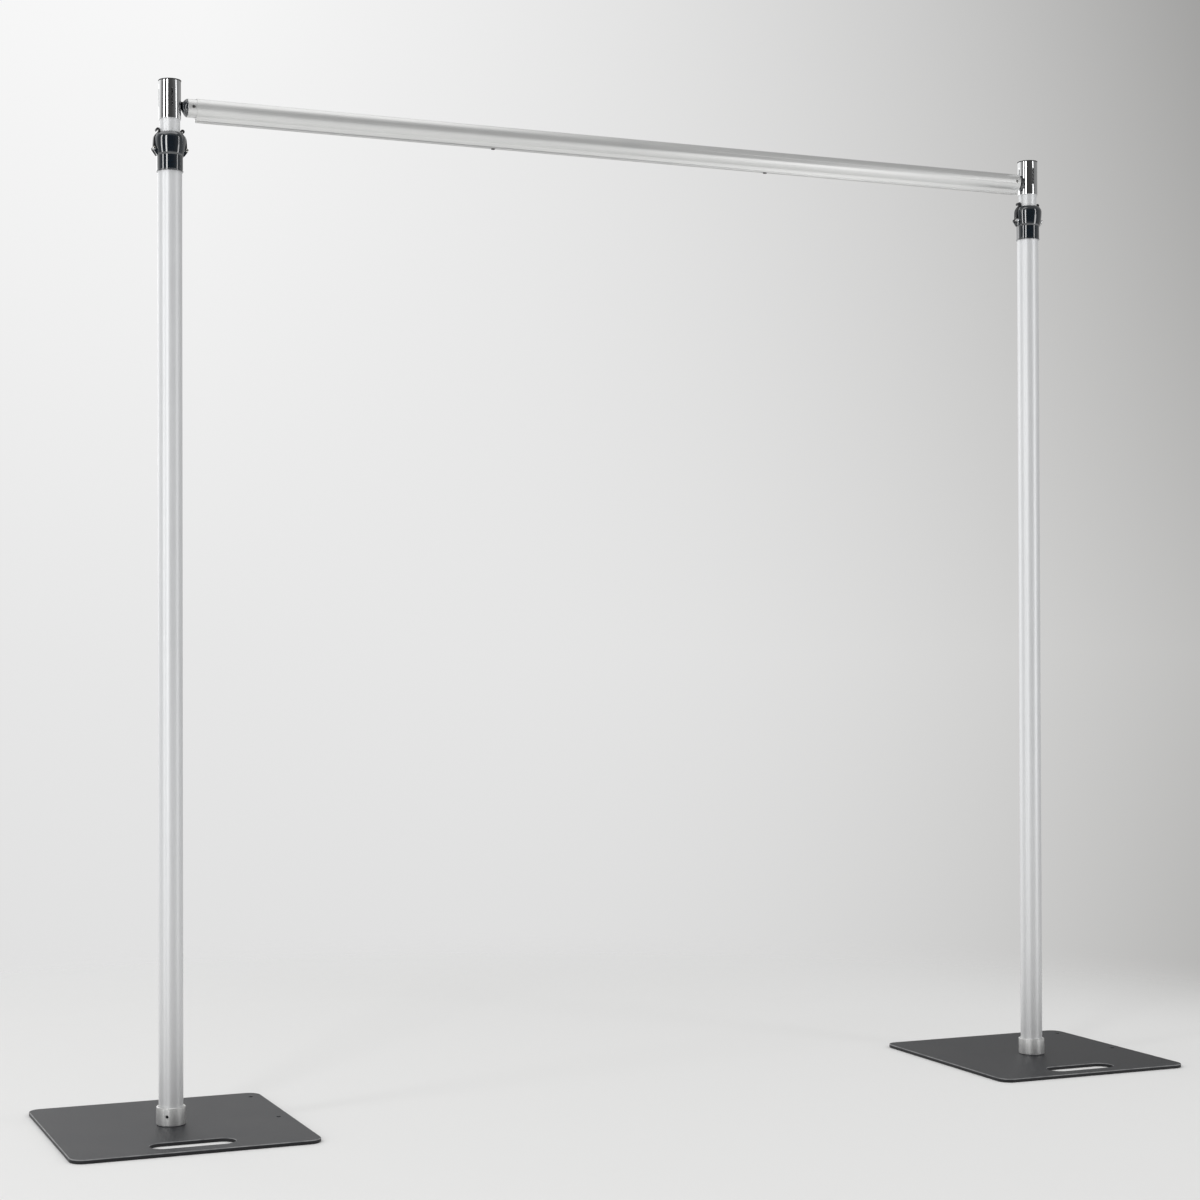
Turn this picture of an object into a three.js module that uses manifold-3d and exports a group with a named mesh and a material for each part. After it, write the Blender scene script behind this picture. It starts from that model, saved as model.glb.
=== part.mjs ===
// Pipe and drape backdrop frame: two telescoping uprights on flat steel bases carry a telescoping crossbar
// that hooks into slotted heads. Millimetres, +Z up, +X along the crossbar from left to right, +Y to the back.
// The origin is on the floor, midway between the two uprights.

import * as THREE from "three";
import { mergeVertices } from "three/addons/utils/BufferGeometryUtils.js";
import Module from "manifold-3d";

const wasm = await Module();
wasm.setup();

// Driving dimensions

const span = 2090; // from one upright's axis to the other's, crossbar fully pushed in
const seatGap = 0.3; // between two pieces that sit on or slide in one another
const overrun = 6; // how far every cutter runs past the faces that it opens

const base = {
  side: 500, thickness: 8, cornerRadius: 28, edgeRound: 1.2,
  handSlotLength: 172, handSlotWidth: 54, handSlotInset: 36,
  pegHoleDiameter: 9, pegHoleInset: 26, pegHoleBackInset: 45, pegHoleSpacing: 218,
};
const spigot = {
  height: 140, leadIn: 5, boltDiameter: 12, boltHeadDiameter: 23, boltHeadHeight: 6, boltGrip: 34, boltRecess: 0.5,
  socketWidth: 8, socketDepth: 4,
};
const ring = {
  outerDiameter: 59.4, height: 37.4, chamfer: 1.6, mouthChamfer: 1, screwDiameter: 6, screwHeight: 20,
  screwRecess: 1.2, screwSocket: 3, screwSocketDepth: 1.4, leftScrewDegrees: -119, rightScrewDegrees: 61,
};
const upright = { diameter: 50, wall: 2, length: 1982, bushLength: 60, bushFlange: 3, bushFlangeInset: 0.6 };
const collar = {
  height: 79.8, overlap: 37.3, wall: 2.6, sleeveWall: 1.5, rimHeight: 2.4, rimStep: 0.7,
  waistHeight: 32.6, waistStep: 2.1, waistRound: 2.2, flareDiameter: 65.2, flareHeight: 66.5,
  mouthShoulder: 2.8, mouthLip: 2.8, windowHeight: 43, earThickness: 2.6, earRadius: 3.6, earRoot: 4,
};
const lever = {
  width: 10, sideGap: 0.5, thickness: 2.8, pinReach: 33.8, pinHeight: 45.5, pinDiameter: 4, eyeRadius: 3.5,
  noseBottom: 8, noseHeight: 8.5, noseInset: 1, tabCurl: 3, tabRise: 4.6, tabSweepDegrees: 205,
  pinHeadDiameter: 7.2, pinHeadHeight: 2.2,
};
const spring = { wire: 0.7, turns: 2.25, pitch: 1.15, room: 3.9, footLength: 2.8, armLength: 4.4 };
const mast = {
  diameter: 42, wall: 1.8, bottomClearance: 22, neck: 27.3,
  guideLength: 25, guideFlange: 12, guideWall: 2.4, guideFloor: 3,
};
const head = {
  length: 79, wall: 1.7, edgeRound: 0.5,
  slotLength: 38, slotWidth: 3.2, slotRound: 0.6, slotTopInset: 16.8, slots: 4,
};
const cap = { overhang: 0.6, rim: 1.6, dome: 1.1, skirtLength: 10, skirtWall: 1.8 };
const bar = {
  outerDiameter: 40.6, outerWall: 1.1, innerWall: 1.2, rise: 3.5, leftGap: 35, rightGap: 32, step: 19.3,
  innerTail: 113, guideLength: 22, guideFlange: 4, guideWall: 2.2,
};
const track = {
  width: 12, depth: 7.7, side: 1.5, lip: 1.5, mouth: 3.6,
  stopLength: 7, stopFoot: 1.7, stopFootWidth: 6, stopSpacing: 666,
};
const plug = {
  shankLength: 30, domeFlatDiameter: 6,
  screwInset: 11, screwDiameter: 5, screwHeadDiameter: 6.4, screwHeadHeight: 1.6, screwRecess: 0.8,
};
const hook = {
  thickness: 2.6, neckHeight: 15, lipDepth: 10, lipWidth: 5.4, cornerRadius: 2.4, tangHeight: 16, tangLength: 24,
};

// Numbers of sides and steps

const tubeSides = 24, smallSides = 12, wireSides = 6;
const cornerSteps = 4, curveSteps = 3, shortCurveSteps = 2, edgeSteps = 1, springStepsPerTurn = 8;

// Heights and radii worked out from the driving dimensions

const uprightRadius = upright.diameter / 2;
const uprightBore = uprightRadius - upright.wall;
const uprightBottom = base.thickness + seatGap;
const uprightTop = uprightBottom + upright.length;
const collarBottom = uprightTop - collar.overlap;
const collarTop = collarBottom + collar.height;
const mastRadius = mast.diameter / 2;
const mastBore = mastRadius - mast.wall;
const mastBottom = uprightBottom + spigot.height + mast.bottomClearance;
const headBottom = collarTop + mast.neck;
const headTop = headBottom + head.length;
const headRadius = mastRadius + seatGap + head.wall;
const slotBottom = headTop - head.slotTopInset - head.slotLength;
const barHeight = slotBottom + bar.rise;
const barRadius = bar.outerDiameter / 2;
const barBore = barRadius - bar.outerWall;
const innerBarRadius = barBore - seatGap;
const innerBarBore = innerBarRadius - bar.innerWall;
const innerBarLeft = -span / 2 + bar.leftGap;
const outerBarLeft = innerBarLeft + bar.step;
const outerBarRight = span / 2 - bar.rightGap;
const innerBarLength = outerBarRight - bar.innerTail - innerBarLeft;
const sleeveRadius = uprightRadius + seatGap + collar.sleeveWall;
const mouthRadius = mastRadius + seatGap;

// Materials

const finish = (color, roughness, metalness) => new THREE.MeshStandardMaterial({ color, roughness, metalness });
const powderCoat = finish(0x4b4c4e, 0.55, 0.1);
const satinAluminium = finish(0xc9cacb, 0.38, 0.9);
const chrome = finish(0xe6e7e8, 0.06, 1);
const zincSteel = finish(0xb9babb, 0.3, 1);
const blackGloss = finish(0x0c0d10, 0.14, 0);
const blackSatin = finish(0x141416, 0.5, 0);
const blackSteel = finish(0x17181a, 0.35, 0.6);

// Solids

function toSolid(geometry) {
  const bare = geometry.clone();
  bare.deleteAttribute("normal");
  bare.deleteAttribute("uv");
  const merged = mergeVertices(bare);
  return new wasm.Manifold(new wasm.Mesh({
    numProp: 3,
    vertProperties: merged.attributes.position.array,
    triVerts: new Uint32Array(merged.index.array),
  }));
}

function toGeometry(solid) {
  const mesh = solid.getMesh();
  const geometry = new THREE.BufferGeometry();
  geometry.setAttribute("position", new THREE.BufferAttribute(new Float32Array(mesh.vertProperties), 3));
  geometry.setIndex(new THREE.BufferAttribute(new Uint32Array(mesh.triVerts), 1));
  geometry.computeVertexNormals();
  return geometry;
}

const join = (...pieces) => toGeometry(pieces.map(toSolid).reduce((a, b) => a.add(b)));
const cut = (body, ...tools) => toGeometry(tools.map(toSolid).reduce((a, b) => a.subtract(b), toSolid(body)));

// A closed [radius, height] profile turned round Z. The profile starts and ends on the axis, or closes on itself.
function revolve(profile, sides = tubeSides) {
  const twiceArea = profile.reduce((sum, [r, z], i) => {
    const [nextR, nextZ] = profile[(i + 1) % profile.length];
    return sum + r * nextZ - nextR * z;
  }, 0);
  const ordered = twiceArea > 0 ? profile : [...profile].reverse();
  return new THREE.LatheGeometry(ordered.map(([r, z]) => new THREE.Vector2(r, z)), sides).rotateX(Math.PI / 2);
}

const closed = (profile) => [...profile, profile[0]];
const fromPath = (path, steps = curveSteps) => path.getPoints(steps).map((p) => [p.x, p.y]);

// A plain tube along Z.
const pipe = (outer, inner, bottom, top, sides = tubeSides) =>
  revolve(closed([[inner, bottom], [outer, bottom], [outer, top], [inner, top]]), sides);

// A solid rod along Z.
const rod = (radius, bottom, top, sides = smallSides) =>
  revolve([[0, bottom], [radius, bottom], [radius, top], [0, top]], sides);

// A flat outline given a thickness along Z, from zero up.
function plateOf(shape, thickness, steps = cornerSteps) {
  return new THREE.ExtrudeGeometry(shape, { depth: thickness, bevelEnabled: false, curveSegments: steps });
}

// An outline drawn in X and Z, given a width along Y that is centred on y = middle.
const sideProfile = (shape, width, middle = 0, steps = cornerSteps) =>
  plateOf(shape, width, steps).rotateX(Math.PI / 2).translate(0, middle + width / 2, 0);

function roundedRectangle(width, height, radius, Outline = THREE.Shape) {
  const x = width / 2, y = height / 2, quarter = Math.PI / 2;
  const outline = new Outline();
  outline.moveTo(-x + radius, -y);
  outline.absarc(x - radius, -y + radius, radius, -quarter, 0);
  outline.absarc(x - radius, y - radius, radius, 0, quarter);
  outline.absarc(-x + radius, y - radius, radius, quarter, 2 * quarter);
  outline.absarc(-x + radius, -y + radius, radius, 2 * quarter, 3 * quarter);
  return outline;
}

function slotOutline(length, width, Outline = THREE.Shape) {
  const reach = (length - width) / 2, radius = width / 2, quarter = Math.PI / 2;
  const outline = new Outline();
  outline.absarc(reach, 0, radius, -quarter, quarter);
  outline.absarc(-reach, 0, radius, quarter, 3 * quarter);
  return outline;
}

function shiftedOutline(outline, y, steps = cornerSteps) {
  return new THREE.Path(outline.getPoints(steps).map((p) => new THREE.Vector2(p.x, p.y + y)));
}

function discOutline(radius, x = 0, y = 0, Outline = THREE.Shape) {
  const outline = new Outline();
  outline.absarc(x, y, radius, 0, 2 * Math.PI);
  return outline;
}

function mesh(name, geometry, material) {
  const made = new THREE.Mesh(geometry, material);
  made.name = name;
  return made;
}

function groupOf(...members) {
  const group = new THREE.Group();
  group.add(...members);
  return group;
}

// Base: plate, spigot, bolt, socket ring and its screw

function basePlate() {
  const side = base.side - 2 * base.edgeRound;
  const outline = roundedRectangle(side, side, base.cornerRadius);
  const slotCentre = -(base.side / 2 - base.handSlotInset - base.handSlotWidth / 2);
  const slot = slotOutline(base.handSlotLength + 2 * base.edgeRound, base.handSlotWidth + 2 * base.edgeRound);
  outline.holes.push(shiftedOutline(slot, slotCentre));
  const pegX = base.side / 2 - base.pegHoleInset;
  const backPeg = base.side / 2 - base.pegHoleBackInset;
  for (const pegY of [backPeg, backPeg - base.pegHoleSpacing]) {
    outline.holes.push(discOutline(base.pegHoleDiameter / 2 + base.edgeRound, pegX, pegY, THREE.Path));
  }
  const plate = new THREE.ExtrudeGeometry(outline, {
    depth: base.thickness - 2 * base.edgeRound, bevelEnabled: true, bevelThickness: base.edgeRound,
    bevelSize: base.edgeRound, bevelSegments: edgeSteps, curveSegments: cornerSteps,
  }).translate(0, 0, base.edgeRound);
  return cut(plate, boltShape(seatGap, overrun));
}

// The countersunk bolt's form. Grown on every side by a clearance it is also the hole that takes the bolt.
function boltShape(clearance, belowFloor) {
  const shank = spigot.boltDiameter / 2 + clearance, wide = spigot.boltHeadDiameter / 2 + clearance;
  const seat = spigot.boltRecess - clearance, neck = spigot.boltRecess + spigot.boltHeadHeight + clearance;
  const tip = neck + spigot.boltGrip, start = seat - belowFloor;
  return revolve([[0, start], [wide, start], [wide, seat], [shank, neck], [shank, tip], [0, tip]], smallSides);
}

function spigotBolt() {
  const face = spigot.boltRecess;
  const socket = rod(spigot.socketWidth / 2, face - overrun, face + spigot.socketDepth, wireSides);
  return cut(boltShape(0, 0), socket);
}

function spigotPost() {
  const radius = uprightBore - seatGap, bottom = uprightBottom, top = bottom + spigot.height;
  const post = revolve([[0, bottom], [radius, bottom], [radius, top - spigot.leadIn],
    [radius - spigot.leadIn, top], [0, top]]);
  return cut(post, boltShape(seatGap, 0));
}

function socketRing(screwAngle) {
  const inner = uprightRadius + seatGap, outer = ring.outerDiameter / 2;
  const bottom = uprightBottom, top = bottom + ring.height;
  const body = revolve(closed([[inner, bottom], [outer - ring.chamfer, bottom], [outer, bottom + ring.chamfer],
    [outer, top - ring.chamfer], [outer - ring.chamfer, top], [inner + ring.mouthChamfer, top],
    [inner, top - ring.mouthChamfer]]));
  const hole = rod(ring.screwDiameter / 2 + seatGap, inner - overrun, outer + overrun);
  return cut(body, aimed(hole, screwAngle));
}

// Turns a piece that points along Z to point outwards at the screw's height, at an angle round the upright.
const aimed = (geometry, angle) =>
  geometry.rotateY(Math.PI / 2).rotateZ(angle).translate(0, 0, uprightBottom + ring.screwHeight);

function setScrew(screwAngle) {
  const tip = uprightRadius + seatGap, back = ring.outerDiameter / 2 - ring.screwRecess;
  const screw = rod(ring.screwDiameter / 2, tip, back);
  const socket = rod(ring.screwSocket / 2, back - ring.screwSocketDepth, back + overrun, wireSides);
  return aimed(cut(screw, socket), screwAngle);
}

// Upright tube with the bush that guides the mast

const uprightTube = () => pipe(uprightRadius, uprightBore, uprightBottom, uprightTop);

function upperBush() {
  const inner = mastRadius + seatGap, outer = uprightBore - seatGap;
  const flange = uprightRadius - upright.bushFlangeInset;
  const bottom = uprightTop - upright.bushLength, seat = uprightTop + seatGap, top = seat + upright.bushFlange;
  return revolve(closed([[inner, bottom], [outer, bottom], [outer, seat],
    [flange, seat], [flange, top], [inner, top]]));
}

// Slip-lock collar: a sleeve over the upright that flares into a bell, with a window and two ears on each side

function collarShell() {
  const rim = sleeveRadius + collar.rimStep, waist = sleeveRadius + collar.waistStep;
  const flare = collar.flareDiameter / 2, shoulder = mouthRadius + collar.mouthShoulder;
  const bore = uprightRadius + seatGap, bellStart = collar.waistHeight + collar.waistRound;
  const bellMiddle = (bellStart + collar.flareHeight) / 2;
  const shoulderMiddle = (collar.flareHeight + collar.height) / 2;
  const outside = new THREE.Path();
  outside.moveTo(rim, 0);
  outside.lineTo(rim, collar.rimHeight - collar.rimStep);
  outside.lineTo(sleeveRadius, collar.rimHeight);
  outside.lineTo(sleeveRadius, collar.waistHeight);
  outside.lineTo(waist, bellStart);
  outside.quadraticCurveTo(flare, bellMiddle, flare, collar.flareHeight);
  outside.bezierCurveTo(flare, shoulderMiddle, shoulder + collar.wall, collar.height, shoulder, collar.height);
  const inside = new THREE.Path(), ceiling = collar.height - collar.mouthLip;
  inside.moveTo(mouthRadius, collar.height);
  inside.lineTo(mouthRadius, ceiling);
  inside.lineTo(shoulder, ceiling);
  inside.quadraticCurveTo(flare - collar.wall, ceiling, flare - collar.wall, collar.flareHeight);
  inside.quadraticCurveTo(flare - collar.wall, bellMiddle, waist - collar.wall, collar.windowHeight);
  inside.lineTo(bore, collar.windowHeight);
  inside.lineTo(bore, 0);
  return revolve(closed([...fromPath(outside), ...fromPath(inside, shortCurveSteps)]));
}

// One ear outline, in X and Z: a round end about the lever's pin, run back into the bell, and a straight slope from
// it down to the waist.
function earOutline() {
  const outline = new THREE.Shape(), quarter = Math.PI / 2;
  const root = lever.pinReach - collar.earRadius - collar.earRoot;
  const foot = new THREE.Vector2(sleeveRadius + collar.waistStep, collar.waistHeight);
  const rise = new THREE.Vector2(lever.pinReach, lever.pinHeight).sub(foot);
  const slope = rise.angle() - Math.asin(collar.earRadius / rise.length());
  outline.moveTo(root, foot.y);
  outline.lineTo(foot.x, foot.y);
  outline.absarc(lever.pinReach, lever.pinHeight, collar.earRadius, slope - quarter, quarter);
  outline.lineTo(root, lever.pinHeight + collar.earRadius);
  return outline;
}

function slipCollar() {
  const halfWindow = lever.width / 2 + lever.sideGap;
  const earMiddle = halfWindow + collar.earThickness / 2;
  const windowTop = collar.height + overrun, windowReach = collar.flareDiameter / 2 + overrun;
  const ears = [], windows = [];
  for (const turn of [0, Math.PI]) {
    for (const side of [-1, 1]) {
      ears.push(sideProfile(earOutline(), collar.earThickness, side * earMiddle).rotateZ(turn));
    }
    const window = new THREE.BoxGeometry(windowReach, 2 * halfWindow, windowTop - collar.windowHeight);
    windows.push(window.translate(windowReach / 2, 0, (windowTop + collar.windowHeight) / 2).rotateZ(turn));
  }
  const pinHole = rod(lever.pinDiameter / 2 + seatGap, -windowReach, windowReach).rotateX(Math.PI / 2);
  const pinHoles = [-1, 1].map((side) => pinHole.clone().translate(side * lever.pinReach, 0, lever.pinHeight));
  return cut(join(collarShell(), ...ears), ...windows, ...pinHoles).translate(0, 0, collarBottom);
}

// Lock lever: eye on the pin, a strap up the outside of the bell, a shoe on the mast and a curled thumb tab

function leverStrap() {
  const half = lever.thickness / 2, curl = lever.tabCurl, flare = collar.flareDiameter / 2;
  const neck = mouthRadius + half, curlHeight = collar.height + lever.tabRise;
  const lip = collar.height - collar.mouthLip, sweep = THREE.MathUtils.degToRad(lever.tabSweepDegrees);
  const line = new THREE.Path();
  line.moveTo(lever.pinReach, lever.pinHeight);
  line.quadraticCurveTo(lever.pinReach, (lever.pinHeight + collar.flareHeight) / 2, flare, collar.flareHeight);
  line.bezierCurveTo(flare - half, lip, neck, lip, neck, curlHeight);
  line.absarc(neck + curl, curlHeight, curl, Math.PI, Math.PI - sweep, true);
  const points = line.getPoints(2 * curveSteps).filter((p, i, all) => !i || p.distanceTo(all[i - 1]) > seatGap);
  const offset = (side) => points.map((p, i) => {
    const along = points[Math.min(i + 1, points.length - 1)].clone().sub(points[Math.max(i - 1, 0)]).normalize();
    return new THREE.Vector2(p.x + side * half * along.y, p.y - side * half * along.x);
  });
  return new THREE.Shape([...offset(1), ...offset(-1).reverse()]);
}

function lockLever() {
  const pin = new THREE.Vector2(lever.pinReach, lever.pinHeight);
  const eyeWidth = lever.width - spring.room, eyeMiddle = -spring.room / 2;
  const eye = sideProfile(discOutline(lever.eyeRadius, pin.x, pin.y), eyeWidth, eyeMiddle);
  const strap = sideProfile(leverStrap(), lever.width);
  const springRoom = sideProfile(discOutline(lever.eyeRadius + seatGap, pin.x, pin.y), spring.room + overrun,
    (lever.width + overrun) / 2 - spring.room / 2);
  const noseDepth = lever.pinReach - mastRadius, noseWidth = lever.width - 2 * lever.noseInset;
  const nose = new THREE.BoxGeometry(noseDepth, noseWidth, lever.noseHeight)
    .translate(pin.x - noseDepth / 2, 0, pin.y + lever.noseBottom + lever.noseHeight / 2);
  const mastRoom = rod(mouthRadius, pin.y, pin.y + lever.noseBottom + lever.noseHeight + overrun, tubeSides);
  const pinRoom = rod(lever.pinDiameter / 2 + seatGap, -lever.width, lever.width)
    .rotateX(Math.PI / 2).translate(pin.x, 0, pin.y);
  return cut(join(cut(strap, springRoom), eye, nose), mastRoom, pinRoom);
}

function leverPin() {
  const radius = lever.pinDiameter / 2, wide = lever.pinHeadDiameter / 2;
  const face = lever.width / 2 + lever.sideGap + collar.earThickness + seatGap;
  const end = face + lever.pinHeadHeight;
  const half = new THREE.Path();
  half.moveTo(radius, 0);
  half.lineTo(radius, face);
  half.lineTo(wide, face);
  half.quadraticCurveTo(wide, end, 0, end);
  const upper = fromPath(half, shortCurveSteps).slice(1);
  const lower = [...upper].reverse().map(([r, z]) => [r, -z]);
  const pin = revolve([...lower, ...upper], smallSides).rotateX(Math.PI / 2);
  return pin.translate(lever.pinReach, 0, lever.pinHeight);
}

// A torsion spring round the pin, beside the eye. Its foot points in to the bell's wall under the window, and its
// arm rises behind the strap.
function leverSpring() {
  const radius = lever.pinDiameter / 2 + seatGap + spring.wire / 2;
  const first = lever.width / 2 - spring.room + seatGap + spring.wire / 2;
  const start = -Math.PI / 2, sweep = 2 * Math.PI * spring.turns;
  const count = Math.round(spring.turns * springStepsPerTurn);
  const place = (share) => {
    const angle = start + share * sweep;
    const x = lever.pinReach + radius * Math.cos(angle), z = lever.pinHeight + radius * Math.sin(angle);
    return new THREE.Vector3(x, first + spring.pitch * spring.turns * share, z);
  };
  const points = Array.from({ length: count + 1 }, (_, i) => place(i / count));
  points.unshift(place(0).add(new THREE.Vector3(-spring.footLength, 0, 0)));
  points.push(place(1).add(new THREE.Vector3(0, 0, spring.armLength)));
  const route = new THREE.CatmullRomCurve3(points, false, "centripetal");
  return new THREE.ExtrudeGeometry(discOutline(spring.wire / 2), {
    steps: points.length - 1, extrudePath: route, curveSegments: wireSides / 2, bevelEnabled: false,
  });
}

// Mast: inner tube with a slotted head at the top and a guide at the bottom

function headSlotCutter() {
  const reach = 2 * (headRadius + overrun);
  const outline = roundedRectangle(head.slotLength, head.slotWidth, head.slotRound);
  const slot = plateOf(outline, reach, edgeSteps).translate(0, 0, -reach / 2);
  return slot.rotateY(Math.PI / 2).translate(0, 0, slotBottom + head.slotLength / 2);
}

function cutHeadSlots(geometry) {
  const step = (2 * Math.PI) / head.slots;
  const pairs = Array.from({ length: head.slots / 2 }, (_, i) => headSlotCutter().rotateZ(i * step));
  return cut(geometry, ...pairs);
}

const mastTube = () => cutHeadSlots(pipe(mastRadius, mastBore, mastBottom, headTop));

function slottedHead() {
  const inner = mastRadius + seatGap, soft = head.edgeRound;
  return cutHeadSlots(revolve(closed([[inner, headBottom], [headRadius - soft, headBottom],
    [headRadius, headBottom + soft], [headRadius, headTop], [inner, headTop]])));
}

function headCap() {
  const wide = headRadius + cap.overhang, skirt = mastBore - seatGap;
  const seat = headTop + seatGap, top = seat + cap.rim;
  const outline = new THREE.Path();
  outline.moveTo(0, seat);
  outline.lineTo(skirt - cap.skirtWall, seat);
  outline.lineTo(skirt - cap.skirtWall, seat - cap.skirtLength);
  outline.lineTo(skirt, seat - cap.skirtLength);
  outline.lineTo(skirt, seat);
  outline.lineTo(wide, seat);
  outline.lineTo(wide, top);
  outline.quadraticCurveTo(wide / 2, top + cap.dome, 0, top + cap.dome);
  return revolve(fromPath(outline, shortCurveSteps));
}

function mastGuide() {
  const flange = uprightBore - seatGap, shank = mastBore - seatGap, hollow = shank - mast.guideWall;
  const seat = mastBottom - seatGap, bottom = seat - mast.guideFlange, top = seat + mast.guideLength;
  return revolve([[0, bottom], [flange - mast.guideWall, bottom], [flange, bottom + mast.guideWall], [flange, seat],
    [shank, seat], [shank, top], [hollow, top], [hollow, bottom + mast.guideFloor], [0, bottom + mast.guideFloor]]);
}

// Crossbar: an outer tube with a drape track below, an inner tube, and a domed plug with a hook at each end

const alongX = (geometry) => geometry.rotateY(Math.PI / 2);
const lifted = (geometry, x = 0) => geometry.translate(x, 0, barHeight);

// Section of the outer tube: a ring with a C-shaped track under it, mouth downwards.
function trackSection() {
  const half = track.width / 2, inside = half - track.side, mouth = track.mouth / 2;
  const floor = -barRadius - track.depth, lipTop = floor + track.lip;
  const roof = -Math.sqrt(barRadius ** 2 - inside ** 2) - seatGap;
  const joinAngle = -Math.acos(half / barRadius), insideAngle = Math.acos(inside / barRadius);
  const section = new THREE.Shape();
  section.absarc(0, 0, barRadius, joinAngle, Math.PI - joinAngle);
  section.lineTo(-half, floor);
  section.lineTo(-mouth, floor);
  section.lineTo(-mouth, lipTop);
  section.lineTo(-inside, lipTop);
  section.lineTo(-inside, roof);
  section.absarc(0, 0, barRadius, Math.PI + insideAngle, 2 * Math.PI - insideAngle);
  section.lineTo(inside, lipTop);
  section.lineTo(mouth, lipTop);
  section.lineTo(mouth, floor);
  section.lineTo(half, floor);
  section.holes.push(discOutline(barBore, 0, 0, THREE.Path));
  return section;
}

function outerBar() {
  const length = outerBarRight - outerBarLeft;
  const tube = plateOf(trackSection(), length, tubeSides / 2).rotateX(Math.PI / 2).rotateZ(Math.PI / 2);
  return cut(lifted(tube, outerBarLeft), plugScrewHoles(outerBarRight - plug.screwInset));
}

function innerBar() {
  const tube = pipe(innerBarRadius, innerBarBore, 0, innerBarLength);
  return cut(lifted(alongX(tube), innerBarLeft), plugScrewHoles(innerBarLeft + plug.screwInset));
}

// The screw that runs across the bar through tube, plug and hook.
function plugScrewHoles(x) {
  const reach = barRadius + overrun;
  return lifted(rod(plug.screwHeadDiameter / 2 + seatGap, -reach, reach).rotateX(Math.PI / 2), x);
}

function plugScrew(x, tubeRadius) {
  const end = tubeRadius - plug.screwRecess, neck = end - plug.screwHeadHeight;
  const wide = plug.screwHeadDiameter / 2, shank = plug.screwDiameter / 2;
  const half = [[shank, neck], [wide, neck], [wide, end], [0, end]];
  const otherHalf = [...half].reverse().map(([r, z]) => [r, -z]);
  return lifted(revolve([...otherHalf, ...half], smallSides).rotateX(Math.PI / 2), x);
}

// Domed plug, made along Z with the dome up and the tube's end at zero, then laid along the bar.
function endPlug(tubeRadius, bore, gapToUpright, facing) {
  const height = gapToUpright - headRadius - 2 * seatGap, flat = plug.domeFlatDiameter / 2, shank = bore - seatGap;
  const ballRadius = (tubeRadius ** 2 + height ** 2 - flat ** 2) / (2 * height);
  const rise = (r) => Math.sqrt(Math.max(ballRadius ** 2 + flat ** 2 - r ** 2, 0)) - ballRadius + height;
  const shares = Array.from({ length: curveSteps + 1 }, (_, i) => Math.cos((Math.PI / 2) * (i / curveSteps)));
  const dome = shares.map((share) => flat + (tubeRadius - flat) * share)
    .map((r) => [r, seatGap + Math.max(rise(r), 0)]);
  const body = revolve([[0, -plug.shankLength], [shank, -plug.shankLength], [shank, seatGap],
    ...dome, [0, height + seatGap]]);
  const slotHeight = hook.neckHeight + 2 * seatGap, tangSlot = hook.tangHeight + 2 * seatGap;
  const bladeWidth = hook.thickness + 2 * seatGap, neckMiddle = hook.neckHeight / 2 - bar.rise;
  const reach = plug.shankLength + height + 2 * overrun;
  const bladeSlot = new THREE.BoxGeometry(slotHeight, bladeWidth, reach)
    .translate(-facing * neckMiddle, 0, reach / 2 - plug.screwInset);
  const tangLength = hook.tangLength + overrun;
  const tang = new THREE.BoxGeometry(tangSlot, bladeWidth, tangLength).translate(0, 0, -tangLength / 2);
  const across = (radius, bottom, top) =>
    rod(radius, bottom, top).rotateX(-Math.PI / 2).translate(0, 0, -plug.screwInset);
  const screwWay = across(plug.screwDiameter / 2 + seatGap, -tubeRadius, tubeRadius);
  const seat = tubeRadius - plug.screwRecess - plug.screwHeadHeight - seatGap;
  const wide = plug.screwHeadDiameter / 2 + seatGap;
  const headRoom = [across(wide, seat, seat + overrun), across(wide, -seat - overrun, -seat)];
  return cut(body, bladeSlot, tang, screwWay, ...headRoom).rotateY((facing * Math.PI) / 2);
}

// Hook outline in X and Z about the upright's axis, for a bar that lies towards +X, heights from the slot's lower end.
function hookOutline(gapToUpright) {
  const inner = mastBore - seatGap, outer = headRadius + seatGap;
  const tip = inner - hook.lipWidth, top = hook.neckHeight + seatGap;
  const tangEnd = gapToUpright + hook.tangLength, soft = hook.cornerRadius;
  const tangTop = bar.rise + hook.tangHeight / 2, tangFoot = bar.rise - hook.tangHeight / 2;
  const outline = new THREE.Shape();
  outline.moveTo(inner, seatGap);
  outline.lineTo(inner, -hook.lipDepth + soft);
  outline.quadraticCurveTo(inner, -hook.lipDepth, inner - soft, -hook.lipDepth);
  outline.lineTo(tip, -hook.lipDepth + soft);
  outline.lineTo(tip, top - soft);
  outline.quadraticCurveTo(tip, top, tip + soft, top);
  outline.lineTo(gapToUpright, top);
  outline.lineTo(gapToUpright + soft, tangTop);
  outline.lineTo(tangEnd, tangTop);
  outline.lineTo(tangEnd, tangFoot);
  outline.lineTo(gapToUpright + soft, tangFoot);
  outline.lineTo(gapToUpright, seatGap);
  outline.lineTo(outer, seatGap);
  return outline;
}

function hookBlade(gapToUpright) {
  const blade = sideProfile(hookOutline(gapToUpright), hook.thickness).translate(0, 0, slotBottom);
  const way = rod(plug.screwDiameter / 2 + seatGap, -overrun, overrun).rotateX(Math.PI / 2);
  return cut(blade, lifted(way, gapToUpright + plug.screwInset));
}

function innerBarGuide() {
  const shank = innerBarBore - seatGap, hollow = shank - bar.guideWall, end = innerBarLength + seatGap;
  const start = end - bar.guideLength, flange = end + bar.guideFlange;
  const guide = revolve(closed([[hollow, start], [shank, start], [shank, end],
    [innerBarRadius, end], [innerBarRadius, flange], [hollow, flange]]));
  return lifted(alongX(guide), innerBarLeft);
}

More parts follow.
